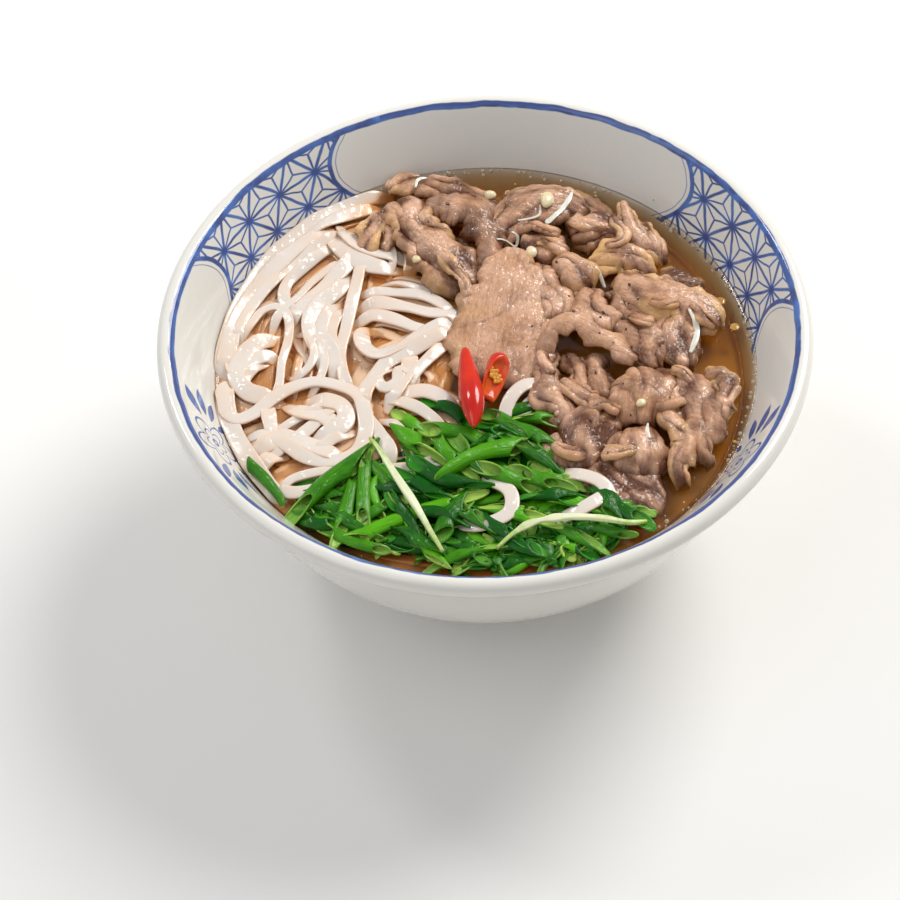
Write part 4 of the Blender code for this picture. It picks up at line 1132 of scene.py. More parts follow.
def slice_sheet(path, settings, seed, arch=1.5, folds=1, depth=1.1, ruffle=0.55, sinew=0.15, pale=0.0,
                thin=False):
    """One slice of beef as a closed bmesh with the ATTRIBUTES on its vertices; raises BEEF_TOP to it."""
    draw = random.Random(seed)
    run = sum(math.dist(a[:2], b[:2]) for a, b in zip(path, path[1:]))
    widest = max(row[3] for row in path) * settings.wider
    along, across = round(run / settings.grid), max(10, round(1.25 * widest / settings.grid))
    u = np.linspace(-1, 1, along + 1)
    v = np.linspace(-1, 1, across + 1)
    x, y, height, width = smooth_curve(path, (u + 1) / 2).T
    _, side = headings(np.column_stack((x, y)))
    width = width * settings.wider * np.sqrt(1 - 0.72 * np.abs(u) ** 5)
    along_mm = ((u + 1) / 2 * run)[:, None]
    # ragged sides: each side of the outline comes and goes on its own
    left, right = (1 + (1.3 * waves(along_mm, 10.0, seed + k) + 0.4 * waves(along_mm, 3.5, seed + k + 1))
                   / np.maximum(width / 2, 4.0) for k in (1, 3))
    half = width[:, None] / 2 * np.where(v[None, :] < 0, left[:, None], right[:, None])
    off = half * v[None, :]
    px = x[:, None] + side[:, :1] * off
    py = y[:, None] + side[:, 1:] * off
    flat = np.stack((px, py, np.full_like(px, 0.37 * seed)), -1).reshape(-1, 3)
    far = along_mm + 0 * off
    from_middle, from_centre = np.abs(v)[None, :], np.abs(u)[:, None]

    def patches(size, number):
        return waves(flat, size, seed + number).reshape(px.shape)

    z = height[:, None] - arch * v[None, :] ** 2
    z = z - (0.5 if thin else 1.1) * smoothstep(0.8, 1.0, from_middle)
    z = z - (0.5 if thin else 1.4) * smoothstep(0.84, 1.0, from_centre)
    # folds run the length of the slice, round on top with sharp creases between, and drift as they go
    drift = 1.3 * waves(along_mm, 30.0, seed + 5) + draw.uniform(-0.5, 0.5)
    pleat = np.abs(np.cos(math.pi * folds * v[None, :] + drift[:, None] + 0.8 * patches(13.0, 13)))
    pleat = pleat ** 0.7 * mix(0.55, 1.0, smoothstep(-0.6, 0.6, waves(along_mm, 16.0, seed + 6)))[:, None]
    z = z + depth * (pleat - 0.6)
    # the sides curl and gather more than the middle does
    edge = np.maximum(from_middle ** 5, 0.6 * from_centre ** 10)
    swell = patches(19.0, 7)
    # the smaller creases run with the muscle, longer than they are wide
    small = waves(np.stack((0.45 * far, off), -1), 4.6, seed + 10)
    z = z + ruffle * (0.9 * swell + (0.2 + 0.5 * edge) * small)
    # fine wrinkles lie across the slice
    wrinkle = waves(np.stack((far, 0.25 * off), -1), 2.4, seed + 12)
    z = z + 0.10 * ruffle * wrinkle * (1 - edge)

    middle = np.stack((px, py, BROTH_LEVEL + z), -1)
    normal = unit(np.cross(np.gradient(middle, axis=0), np.gradient(middle, axis=1)))
    rounding = np.sqrt(np.clip(1 - np.maximum(from_centre, from_middle) ** 10, 0.02, 1))
    body = settings.thickness * rounding / 2
    grain = waves(np.stack((0.3 * far, off, 0 * off), -1), 3.2, seed + 8)
    relief = 0.24 * ruffle * grain + 0.10 * patches(1.7, 9)
    top = middle + normal * (body + relief)[..., None]
    under = middle - normal * body[..., None]

    # painted shade: lighter on the ridges and higher up, darker in the creases and at the sides; the slice's
    # paleness shifts it all
    fold_shade_and_tone = 0.5 + pale + 0.10 * swell + 0.45 * ruffle * small + 0.5 * (pleat - 0.55)
    fold_shade_and_tone = fold_shade_and_tone + 0.05 * (z - 4.0) + 0.8 * relief - 0.25 * smoothstep(0.8, 1.0, from_middle)
    fold_shade_and_tone = np.clip(fold_shade_and_tone, 0, 1)
    rim = sinew * smoothstep(0.55, 0.95, from_middle + 0.35 * patches(13.0, 11) + 0.3 * (sinew - 0.5))
    bm, layers, places = sheet_template(along, across)
    for vert, i, j, above in places:
        vert.co = (top if above else under)[i, j]
        for layer, values in zip(layers, (fold_shade_and_tone, rim, far, off)):
            vert[layer] = values[i, j]
    bmesh.ops.recalc_face_normals(bm, faces=list(bm.faces))
    BEEF_TOP.raise_to(top[..., 0].ravel(), top[..., 1].ravel(), top[..., 2].ravel() - BROTH_LEVEL)
    return bm


class SOUP_OT_beef(bpy.types.Operator):
    """The folded slices of beef, one piece each"""
    bl_idname = "soup.beef"
    bl_label = "Beef"

    def execute(self, context):
        settings = context.scene.soup_beef
        finish = beef_material(settings)
        for number, (name, values) in enumerate(BEEF.items()):
            bm = slice_sheet(settings=settings, seed=FIRST_SLICE_SEED + 20 * number, **values)
            finish_mesh(bm, "slice_" + name, finish, ["beef_" + name])
        scraps, _ = painted_mesh(*ATTRIBUTES)
        for number, path in enumerate(BEEF_SCRAPS):
            bm = slice_sheet(path, settings, FIRST_SCRAP_SEED + 10 * number, arch=0.8, depth=0.7,
                             ruffle=0.8, sinew=(0.9, 0.3, 0.6)[number % 3], thin=True)
            scrap = bpy.data.meshes.new("scrap")
            bm.to_mesh(scrap)
            bm.free()
            scraps.from_mesh(scrap)
            bpy.data.meshes.remove(scrap)
        finish_mesh(scraps, "slice_scraps", finish, [])
        return {"FINISHED"}


# ---- the spring onion ----
# Young onion leaves cut on the slant: hollow, ribbed, waxy green outside and paler inside.
# Each row is one end's x, y, the other end's x, y, the width, and the height of its middle over the broth.
ONION_PIECES = [
    (-58, -57, -37, -37, 7.6, 3.6), (-45, -65, -40, -43, 5.6, 3.4), (-38, -63, -37, -38, 5.4, 4.2),
    (-33, -58, -34, -43, 4.8, 3.6), (-28, -53, -37, -37, 5.2, 3.2), (-41, -67, -7, -54, 5.4, 5.2),
    (-16, -68, -6, -53, 6.4, 5.4), (-22, -42, -4, -51, 8.0, 5.6), (-12, -45, 9, -36, 6.8, 5.6),
    (-18, -16, -6, -26, 6.2, 4.4), (-27, -20, -19, -31, 5.4, 3.4), (-25, -27, -17, -38, 6.0, 3.8),
    (-18, -28, 1, -36, 6.4, 5.0), (-16, -30, -7, -44, 5.6, 5.0), (0, -22, 15, -36, 6.6, 4.8),
    (5, -21, 17, -18, 5.0, 4.2), (7, -25, 21, -27, 5.6, 4.2), (-28, -44, -16, -54, 5.8, 4.8),
    (-5, -38, 4, -33, 6.0, 5.0), (6, -30, 18, -38, 6.0, 4.8), (-2, -45, 12, -52, 6.2, 5.2),
    (8, -46, 20, -52, 6.4, 4.8), (2, -58, 14, -64, 5.8, 4.6), (10, -55, 25, -58, 6.2, 5.0),
    (-12, -56, -2, -64, 5.4, 4.6), (-6, -60, 6, -70, 5.6, 4.4), (-30, -54, -22, -66, 5.2, 4.4),
    (-46, -56, -36, -66, 5.0, 2.6), (-57, -57, -46, -61, 4.8, 1.8), (-19, -77, 0, -72, 4.6, 2.6),
    (28, -50, 34, -64, 5.4, 4.4), (31, -53, 43, -66, 6.0, 4.6), (-50, -62, -33, -71, 4.8, 2.0),
    (-26, -63, -17, -76, 5.0, 3.2), (-32, -62, -20, -72, 5.0, 3.4), (16, -64, 28, -72, 5.2, 3.2),
    (0, -66, 12, -74, 5.2, 3.2), (20, -56, 32, -60, 5.6, 3.8), (14, -43, 24, -50, 5.4, 3.6),
    (-2, -28, 6, -33, 5.4, 4.6), (-24, -58, -10, -63, 5.2, 4.4), (-10, -33, -2, -44, 6.0, 5.2),
    (-34, -47, -22, -50, 5.0, 3.6), (10, -36, 20, -44, 5.6, 4.2), (-14, -68, -4, -76, 5.0, 3.0),
    (26, -64, 38, -70, 4.8, 2.6), (34, -58, 44, -62, 4.6, 2.6), (-40, -60, -30, -54, 4.8, 3.0),
]
STRAY_AXIS = [(-71.5, -38.0, 4.0), (-67.0, -44.3, 2.9), (-62.0, -50.6, 2.5)]
SHREDS = {
    "pale_shred_left": dict(path=[(-35.5, -32.5, 6.5), (-33, -37, 7.2), (-28, -48, 7.6), (-23, -58, 7.2),
                                  (-18.5, -68, 6.2), (-15.5, -74, 5.2)], width=3.2),
    "pale_shred_right": dict(path=[(0, -74, 5.4), (5, -69.5, 6), (11, -66.3, 6.6), (20, -65.2, 7),
                                   (30, -66, 6.8), (38, -67.5, 6), (43.5, -66.5, 4.6)], width=3.0),
}
ONION_SEED, SHRED_THICKNESS, SHRED_SIDES, LEAF_SIDES = 23, 1.6, 14, 16
LEAF_ATTRIBUTES = ("along", "around", "tone")
LEAF_TONES = (0.0, 0.1, 0.25, 0.4, 0.55, 0.8)
LOOSE_TOP = 1.7                                            # loose pieces don't rise over this


class OnionSettings(bpy.types.PropertyGroup):
    wall: length("Wall", "Thickness of a leaf's wall", 0.55)
    loose: IntProperty(name="Hidden pieces", description="How many more lie under and between", default=115)
    at_wall: IntProperty(name="At the wall", description="How many lie along the front wall", default=26)
    leaf: paint("Leaf", "Green of the leaf's inner skin", "#2A8014")
    deep: paint("Deep green", "Green of the older leaf", "#045202")
    bright: paint("Bright green", "Green of the young leaf", "#58AA0A")
    inside: paint("Inside", "Colour inside the hollow leaf", "#AFD25C")
    stem: paint("Stem", "Colour of the white end", "#E6EAC4")


def onion_material(name, first, second):
    made, tree = new_material(name)
    place = own_place(tree)
    along = attribute(tree, "along")
    around = attribute(tree, "around")
    tone = attribute(tree, "tone")
    # fine ribs run the length of the leaf, about 0.5 mm apart
    ribs = noise(tree, add(tree, "CombineXYZ", {0: along, 1: around, 2: tone}), 1.0, 2.0)
    patch = noise(tree, place, 160.0, 2.0)
    amount = calc(tree, "MULTIPLY_ADD", ribs, 0.5, tone)
    amount = calc(tree, "MULTIPLY_ADD", patch, 0.5, amount)
    amount = ramp(tree, amount, 0.55, 1.35)
    base = blend(tree, amount, first, second)
    bump = bumps(tree, ribs, 0.6, 0.0005)
    # wet spots about 2 mm apart
    film = noise(tree, place, 480.0, 1.0)
    gleam = bumps(tree, film, 0.45, 0.0012)
    shader = add(tree, "BsdfPrincipled", {
        "Base Color": base, "Roughness": 0.22, "IOR": 1.36, "Specular IOR Level": 0.3, "Normal": bump,
        "Coat Weight": 0.22, "Coat Roughness": 0.05, "Coat Normal": gleam})
    return surfaced(made, shader)


def leaf_points(ends, width, flat, cuts, bow):
    """Points round a hollow leaf between two ends; each cut is its slope and the turn of its longer side."""
    (x0, y0, z0), (x1, y1, z1) = ends
    run = math.dist((x0, y0), (x1, y1))
    rings = max(8, round(run / 1.1))
    t = np.linspace(0, 1, rings)
    ahead = np.array((x1 - x0, y1 - y0, z1 - z0)) / run
    side = unit(np.cross((0, 0, 1), ahead))
    middle = np.array((x0, y0, z0)) + t[:, None] * ahead * run + np.sin(math.pi * t)[:, None] * side * bow
    middle[:, 2] += BROTH_LEVEL + 0.12 * abs(bow) * np.sin(math.pi * t)
    slim = width / 2 * (1 - 0.14 * t) * (1 + 0.04 * np.sin(9 * t + x0))
    ahead_here = unit(np.gradient(middle, axis=0))
    places = sweep(middle, ahead_here, np.array((0, 0, 1.0)), slim, slim * flat, LEAF_SIDES, 0.95)
    # the ends are cut on a slant, so that one side of the leaf reaches further than the other
    turn = np.arange(LEAF_SIDES) * math.tau / LEAF_SIDES
    (slope, longer), (last_slope, last_longer) = cuts
    start = -width / 2 * slope * np.cos(turn - longer)
    finish = width / 2 * last_slope * np.cos(turn - last_longer)
    move = start[None, :] * (1 - t[:, None]) ** 2 + finish[None, :] * t[:, None] ** 2
    return places + move[..., None] * ahead


def lay_leaf(bm, layers, places, tone):
    """Lays one leaf, with its run, its turn and its tone on its vertices."""
    start = len(bm.verts)
    lay_tube(bm, places, caps=False)
    _, ring, side = tube_template(LEAF_SIDES, len(places), False)
    for v, i, j in zip(bm.verts[start:], ring, side):
        for layer, value in zip(layers, (0.25 * i, 2.2 * abs(j - LEAF_SIDES / 2), tone)):
            v[layer] = value


def cut_at(x, y, turn, run, width):
    """A row for a piece with its middle at x, y that lies on whatever is there."""
    dx, dy = run / 2 * math.cos(turn), run / 2 * math.sin(turn)
    return (x - dx, y - dy, x + dx, y + dy, width, None)


def in_onions(x, y):
    """True where the heap of spring onion lies, at the front of the bowl."""
    if math.hypot(x, y) > 77 or y > -29 - 0.35 * abs(x + 4):
        return False
    return not (x < -30 and y > -42 or x > 20 and y > -38 - 0.7 * x)


class SOUP_OT_spring_onion(bpy.types.Operator):
    """The cut spring onion: hollow leaves over a smaller core, two pale shreds and a stray piece"""
    bl_idname = "soup.spring_onion"
    bl_label = "Spring onion"

    def execute(self, context):
        settings = context.scene.soup_onion
        draw = random.Random(ONION_SEED)
        skin = onion_material("spring_onion_leaf", settings.deep, settings.bright)
        flesh = onion_material("spring_onion_inside", settings.leaf, settings.inside)
        bed = Bed(lambda x, y: -1.6 + 0 * x)
        pieces = []
        while len(pieces) < settings.loose:
            x, y = draw.uniform(-52, 42), draw.uniform(-79, -27)
            if in_onions(x, y):
                turn, run = draw.uniform(0, math.tau), draw.uniform(7, 14)
                pieces.append(cut_at(x, y, turn, run, draw.uniform(3.6, 5.8)))
        # those at the front lie along the wall
        for number in range(settings.at_wall):
            turn = math.radians(-135 + 80 * (number + draw.random()) / settings.at_wall)
            far, run = draw.uniform(71, 77), draw.uniform(8, 15)
            x, y = far * math.cos(turn), far * math.sin(turn)
            turn += math.pi / 2 + draw.uniform(-0.5, 0.5)
            pieces.append(cut_at(x, y, turn, run, draw.uniform(4.2, 6.0)))
        made, layers = painted_mesh(*LEAF_ATTRIBUTES)
        for x0, y0, x1, y1, width, rest in pieces + ONION_PIECES:
            width = min(width * 0.84, 5.8)
            flat = draw.uniform(0.45, 0.8)
            line = even_curve([(x0, y0), ((x0 + x1) / 2, (y0 + y1) / 2), (x1, y1)], 1.0)
            heights, _ = lie_down(bed, line, width * 0.6, width * flat * 0.7, 8)
            if rest is None:
                z0, z1 = (min(heights[end], LOOSE_TOP) for end in (0, -1))
            else:
                z0, z1 = (mix(heights[end], rest, 0.6) + draw.uniform(-1.2, 0.6) for end in (0, -1))
            cuts = [(draw.uniform(1.2, 3.0), draw.gauss(-1.57, 0.8)) for _ in range(2)]
            places = leaf_points(((x0, y0, z0), (x1, y1, z1)), width, flat, cuts, draw.uniform(-2.2, 2.2))
            tone = draw.choice(LEAF_TONES) + draw.uniform(-0.1, 0.1)
            lay_leaf(made, layers, places, tone)
        piece = finish_mesh(made, "spring_onion_cuts", [skin, flesh], ["spring_onion_heap"])
        self.thicken(piece, settings)

        made, layers = painted_mesh(*LEAF_ATTRIBUTES)
        places = leaf_points((STRAY_AXIS[0], STRAY_AXIS[-1]), 3.6, 0.8, ((1.0, 0.6), (1.4, 2.4)), 0.6)
        lay_leaf(made, layers, places, 0.35)
        piece = finish_mesh(made, "spring_onion_stray_cut", [skin, flesh],
                            ["spring_onion_stray"])
        self.thicken(piece, settings)

        pale = shred_material(settings)
        for name, values in SHREDS.items():
            line = even_curve(values["path"], 0.8)
            run = np.linspace(-1, 1, len(line))
            width = values["width"] * (0.78 - 0.5 * np.abs(run) ** 2.2)
            width = width * (1 + 0.14 * waves(line[:, :1], 9.0, 31))
            made, (layer,) = painted_mesh("along")
            places = strip_points(line, line[:, 2], 0.25 * np.sin(np.linspace(0, 7, len(line))), width,
                                  SHRED_THICKNESS, SHRED_SIDES, 0.8)
            lay_tube(made, places)
            _, ring, _ = tube_template(SHRED_SIDES, len(line), True)
            for v, i in zip(made.verts, ring):
                v[layer] = i / len(line)
            finish_mesh(made, name + "_strip", pale, [name])
        make_shaded_onion_core(skin)
        return {"FINISHED"}

    def thicken(self, piece, settings):
        """Gives the leaves of a piece a wall, with the second material on its inner side and cut ends."""
        wall = piece.modifiers.new("wall", "SOLIDIFY")
        wall.thickness = settings.wall * MM
        wall.offset = -1
        wall.material_offset = 1
        wall.material_offset_rim = 1


def shred_material(settings):
    """A split strip of the white end: pale, ribbed, and greener towards one tip."""
    made, tree = new_material("spring_onion_stem")
    place = own_place(tree)
    along = attribute(tree, "along")
    grain = noise(tree, place, 420.0, 3.0)
    far = calc(tree, "ABSOLUTE", calc(tree, "SUBTRACT", along, 0.5))
    green = calc(tree, "MULTIPLY_ADD", grain, 0.5, far)
    green = ramp(tree, green, 0.4, 0.75)
    base = blend(tree, green, settings.stem, colour("#9DBF4A"))
    bump = bumps(tree, grain, 0.3, 0.0004)
    shader = add(tree, "BsdfPrincipled", {
        "Base Color": base, "Roughness": 0.25, "IOR": 1.42, "Normal": bump, "Subsurface Weight": 0.3,
        "Subsurface Scale": 0.002})
    return surfaced(made, shader)


def make_shaded_onion_core(finish):
    """The heart of the heap, lumpy and lower than the leaves on it: more onion, in the deepest green as
    painted shade between the leaves.
    """
    bm = bmesh.new()
    verts, places, high = doubled_grid(bm, 60, 44)
    x, y = drawn_to_disc(places)
    x, y = -6 + 40 * x, -51 + 21 * y
    # with no tone on its vertices the core takes the deepest green, a painted shade under the leaves
    for vert, px, py, lump in zip(verts, x, y, waves(np.column_stack((x, y)), 6.0, 31)):
        vert.co = (px, py, BROTH_LEVEL + (0.4 + 0.9 * lump if vert in high else -3.6))
    bmesh.ops.recalc_face_normals(bm, faces=list(bm.faces))
    finish_mesh(bm, "spring_onion_shaded_core", finish, ["spring_onion_heap"])


# ---- the chillies ----
# Ripe bird's-eye chilli: taut, glassy red skin; the cut one shows its paler flesh and orange seeds.
# Each axis has rows of x, y and height over the broth.
CHILLI_AXIS = [(-6, -0.9, 8.2), (-5.6, -7.5, 8.0), (-5.0, -15.5, 8.2), (-4.5, -23.5, 8.4), (-4.6, -31.5, 8.4)]
CUT_CHILLI_AXIS = [(4.8, -3.3, 7.0), (3.9, -6.5, 7.2), (2.6, -12, 7.4), (1.0, -19, 7.2)]
CUT_FACE_POINT, CUT_FACE_NORMAL = (2.9, -11.1, 8.2), (0.46, -0.48, 0.75)
POD_RINGS, POD_SIDES = 60, 40
SEEDS, SEEDS_SEED, SEED_RADIUS, HOLLOW = 13, 5, 0.8, 0.75


class ChilliSettings(bpy.types.PropertyGroup):
    skin: paint("Skin", "Colour of the ripe skin", "#C21002")
    lit: paint("Lit skin", "Colour of the skin where it is thin", "#DC2E04")
    flesh: paint("Flesh", "Colour of the cut flesh", "#E4600F")
    seed: paint("Seed", "Colour of the seeds", "#EE8C1E")


def gloss_material(name, first, second, scale, rough, glow):
    """A smooth skin whose colour drifts between two, with light passing a little way in."""
    made, tree = new_material(name)
    place = own_place(tree)
    drift = noise(tree, place, scale, 2.0)
    amount = ramp(tree, drift, 0.3, 0.7)
    base = blend(tree, amount, first, second)
    bump = bumps(tree, drift, 0.12, 0.0008)
    shader = add(tree, "BsdfPrincipled", {
        "Base Color": base, "Roughness": rough, "IOR": 1.45, "Normal": bump, "Subsurface Weight": glow,
        "Subsurface Radius": (1.0, 0.3, 0.1), "Subsurface Scale": 0.0015, "Coat Weight": 0.3,
        "Coat Roughness": 0.05})
    return surfaced(made, shader)


def pod_points(axis, radius, rings, sides):
    t = np.linspace(0, 1, rings)
    centres = smooth_curve(axis, t)
    centres[:, 2] += BROTH_LEVEL
    size = radius(t)
    return sweep(centres, unit(np.gradient(centres, axis=0)), np.array((0, 0, 1.0)), size, size, sides)


def chilli_radius(t):
    """A long point, a full belly and a drawn-in end."""
    return 3.7 * np.sin(math.pi * np.minimum(0.05 + 0.62 * t + 0.33 * t ** 3, 0.97)) ** 0.85 + 0.1


def cut_chilli_radius(t):
    return 3.4 * np.sqrt(np.maximum(1 - (1 - np.minimum(t * 2.4, 1)) ** 2, 0.02))


class SOUP_OT_chillies(bpy.types.Operator):
    """The whole chilli and the cut one with its seeds"""
    bl_idname = "soup.chillies"
    bl_label = "Chillies"

    def execute(self, context):
        settings = context.scene.soup_chilli
        skin = gloss_material("chilli_skin", settings.skin, settings.lit, 90.0, 0.16, 0.2)
        flesh = gloss_material("chilli_flesh", settings.flesh, settings.lit, 300.0, 0.3, 0.3)
        seed = gloss_material("chilli_seed", settings.seed, colour("#F8B04A"), 400.0, 0.3, 0.3)

        places = pod_points(CHILLI_AXIS, chilli_radius, POD_RINGS, POD_SIDES)
        turn = np.arange(POD_SIDES) * math.tau / POD_SIDES
        t = np.linspace(0, 1, POD_RINGS)
        # three soft grooves and a slight waist keep the pod from looking turned
        middle = places.mean(axis=1, keepdims=True)
        swell = 1 - 0.035 * np.cos(3 * turn + 0.6)[None, :] * np.sin(math.pi * t)[:, None]
        swell = swell * (1 + 0.03 * np.sin(9 * t + 1))[:, None]
        bm = bmesh.new()
        lay_tube(bm, middle + (places - middle) * swell[..., None])
        finish_mesh(bm, "chilli_whole_pod", skin, ["chilli_whole"])

        bm = bmesh.new()
        lay_tube(bm, pod_points(CUT_CHILLI_AXIS, cut_chilli_radius, 44, 36))
        normal = Vector(CUT_FACE_NORMAL).normalized()
        point = Vector(CUT_FACE_POINT) + Vector((0, 0, BROTH_LEVEL))
        found = bmesh.ops.bisect_plane(bm, geom=bm.verts[:] + bm.edges[:] + bm.faces[:], plane_co=point,
                                       plane_no=normal, clear_outer=True)
        rim = [g for g in found["geom_cut"] if isinstance(g, bmesh.types.BMEdge)]
        ends = {v for edge in rim for v in edge.verts}
        centre = sum((v.co for v in ends), Vector()) / len(ends)
        # the cut: a rim of flesh, then a hollow with its floor
        for reach, sink in ((0.84, 0.0), (0.9, 0.65), (0.66, 0.65)):
            grown = bmesh.ops.extrude_edge_only(bm, edges=rim)["geom"]
            rim = [g for g in grown if isinstance(g, bmesh.types.BMEdge)]
            rim = [e for e in rim if all(v not in ends for v in e.verts)]
            ring = {v for edge in rim for v in edge.verts}
            middle = sum((v.co for v in ring), Vector()) / len(ring)
            for v in ring:
                v.co = middle + (v.co - middle) * reach - normal * sink
            for f in bm.faces:
                if any(v in ring for v in f.verts):
                    f.material_index = 1
            ends |= ring
        for f in bmesh.ops.contextual_create(bm, geom=rim)["faces"]:
            f.material_index = 1
        bmesh.ops.recalc_face_normals(bm, faces=list(bm.faces))
        finish_mesh(bm, "chilli_cut_half", [skin, flesh], ["chilli_cut"])

        bm = bmesh.new()
        draw = random.Random(SEEDS_SEED)
        across = normal.orthogonal().normalized()
        over = normal.cross(across)
        lie = normal.to_track_quat("Z", "Y").to_matrix().to_4x4() @ Matrix.Diagonal((1.0, 0.8, 0.32, 1))
        for k in range(SEEDS):
            reach, turn = 1.9 * math.sqrt((k + 0.5) / SEEDS), 2.4 * k
            place = centre + across * reach * math.cos(turn) * 0.8 + over * reach * math.sin(turn) * 1.5
            made = bmesh.ops.create_uvsphere(bm, u_segments=12, v_segments=8, radius=SEED_RADIUS)["verts"]
            spin = Matrix.Rotation(draw.uniform(0, math.tau), 4, normal)
            bmesh.ops.transform(bm, matrix=Matrix.Translation(place - normal * HOLLOW) @ spin @ lie,
                                verts=made)
        finish_mesh(bm, "chilli_seeds", seed, [])
        return {"FINISHED"}


# ---- the small things on the food and the broth ----
# Cracked pepper on the beef: x, y and size.
PEPPER = [(28, 14, 1.1), (37, 12, 1.3), (36, 10, 1.0), (46, 23, 1.2), (43, 11, 1.2), (43.5, 6, 0.9),
          (33, -11, 1.2), (42, -29, 0.9), (-9, 60, 1.3), (24, 35, 1.0), (15, 10, 0.8), (35, 1, 0.7),
          (29, 45, 1.0), (40, 27, 0.8), (27, 20, 0.7), (54, -24, 0.8), (30, -30, 0.7), (48, 17, 0.8)]
# Streaks of white fat and froth, some of them painted highlights where the broth's edge meets the food: rows
# of x, y and width.
STREAKS_AND_GLINTS = [
    [(31, 65, 1.2), (29.5, 61, 2.6), (26.5, 56.5, 2.4), (23, 53, 3.0), (21.8, 51.8, 1.4)],
    [(6, 45, 0.8), (9, 46.4, 1.2), (12, 47.2, 1.4), (12.6, 49.2, 1.5), (10.8, 49.8, 1.0)],
    [(13, 53.4, 0.8), (17, 54, 1.1), (20, 55, 1.2), (20.4, 58.5, 0.8)],
    # this crescent is a painted highlight on the broth's surface
    [(63.2, 12, 1.0), (65, 7, 2.6), (64.4, 2, 2.8), (62.4, -2.6, 1.4)],
    [(36, 32, 1.4), (38, 30, 2.0), (39, 28.6, 1.0)],
    [(28, 41, 0.8), (31, 41.2, 1.8), (33, 40.8, 0.8)],
    [(-19, 71, 0.9), (-18, 74.6, 1.8), (-15, 75.6, 1.2), (-12, 75.2, 0.8)],
    [(47, -31, 0.8), (46.4, -35, 1.8), (47, -38, 1.0)],
    [(29, -66, 0.6), (33, -67.5, 1.4), (36, -65, 2.0), (37.4, -61, 1.4), (36.4, -58.6, 0.8)],
]
# Pale bits: x, y, length, width, turn in degrees.
BITS = [(22.6, 60, 6.4, 4.4, 80), (16.6, 41.5, 5.2, 3.8, 70), (4.8, 66.4, 4.0, 3.4, 0),
        (45.2, -26.2, 3.4, 2.6, 30), (-19.6, 38, 2.8, 2.6, 0)]
BITS_SEED, PEPPER_COUNT = 41, 46                           # the count of flecks in all


class BitsSettings(bpy.types.PropertyGroup):
    bubbles: IntProperty(name="Bubbles", description="How many lie along the edge of the broth", default=170)
    droplets: IntProperty(name="Droplets", description="How many drops of fat float on the broth", default=90)
    pepper: paint("Pepper", "Colour of the cracked pepper", "#2A1A14")
    # Fat is also the colour of the painted highlights along the broth's edge
    fat: paint("Fat", "Colour of the white fat and froth", "#E6D8C4")
    bit: paint("Bit", "Colour of the pale bits", "#DCCB98")


def bubble_material():
    """A thin wet skin: clear, with its gloss."""
    made, tree = new_material("clear_bubble")
    clear = add(tree, "BsdfTransparent", {"Color": (1, 1, 1, 1)})
    skin = add(tree, "BsdfPrincipled", {"Base Color": colour("#F4EAD8"), "Roughness": 0.05, "IOR": 1.6})
    body = add(tree, "MixShader", {0: 0.3, 1: clear, 2: skin})
    return surfaced(made, body)


def on_beef(x, y):
    """Height over the broth of the top of the beef round a point."""
    around = np.array([(0, 0), (0.5, 0), (-0.5, 0), (0, 0.5), (0, -0.5)])
    return float(BEEF_TOP.at(x + around[:, 0], y + around[:, 1]).max())


def lay_pepper(settings, draw):
    """Cracked pepper on the beef: the flecks that are placed, and finer ones between."""
    bm = bmesh.new()
    spots = list(PEPPER)
    while len(spots) < PEPPER_COUNT:
        x, y = draw.uniform(-28, 72), draw.uniform(-50, 66)
        if on_beef(x, y) > 1.5:
            spots.append((x, y, draw.uniform(0.35, 0.7)))
    for x, y, size in spots:
        made = bmesh.ops.create_icosphere(bm, subdivisions=1, radius=size / 2)["verts"]
        for v in made:
            v.co *= draw.uniform(0.7, 1.2)
        place = Matrix.Translation((x, y, BROTH_LEVEL + on_beef(x, y) + size * 0.12))
        turn = Matrix.Rotation(draw.uniform(0, math.tau), 4, "Z") @ Matrix.Diagonal((1.2, 0.8, 0.7, 1))
        bmesh.ops.transform(bm, matrix=place @ turn, verts=made)
    pepper = gloss_material("cracked_pepper", settings.pepper, colour("#4A3024"), 900.0, 0.5, 0.0)
    finish_mesh(bm, "pepper_flecks", pepper, [], smooth=False)


def lay_streaks_and_glints(settings):
    """Streaks of white fat and froth, and painted highlights of the broth's edge, on the beef and the broth.
    """
    bm = bmesh.new()
    for rows in STREAKS_AND_GLINTS:
        line = even_curve(rows, 0.5)
        height = soften(np.array([on_beef(x, y) for x, y in line[:, :2]]), 3)
        places = strip_points(line[:, :2], height - 0.02, 0 * height, 0.75 * line[:, 2], 0.4, 12, 1.0)
        lay_tube(bm, places)
    # white fat and froth, some of it standing in as painted highlights of the broth
    froth = gloss_material("white_fat_froth_and_glints", settings.fat, colour("#F6EEE2"), 500.0, 0.12, 0.4)
    finish_mesh(bm, "fat_streaks_and_glints", froth, [])


def lay_pale_bits(settings):
    """Pale bits, a little lumpy."""
    bm = bmesh.new()
    for x, y, long, wide, turn in BITS:
        made = bmesh.ops.create_uvsphere(bm, u_segments=20, v_segments=12, radius=0.5)["verts"]
        points = np.array([v.co for v in made])
        for v, swell in zip(made, waves(points, 0.9, int(x) + 60)):
            v.co *= 1 + 0.10 * swell
        place = Matrix.Translation((x, y, BROTH_LEVEL + max(on_beef(x, y), 0.0) + 0.5))
        size = Matrix.Diagonal((long, wide, wide * 0.7, 1))
        spin = Matrix.Rotation(math.radians(turn), 4, "Z")
        bmesh.ops.transform(bm, matrix=place @ spin @ size, verts=made)
    pale = gloss_material("pale_bits", settings.bit, colour("#F0E4C4"), 300.0, 0.25, 0.3)
    finish_mesh(bm, "pale_bits", pale, [])


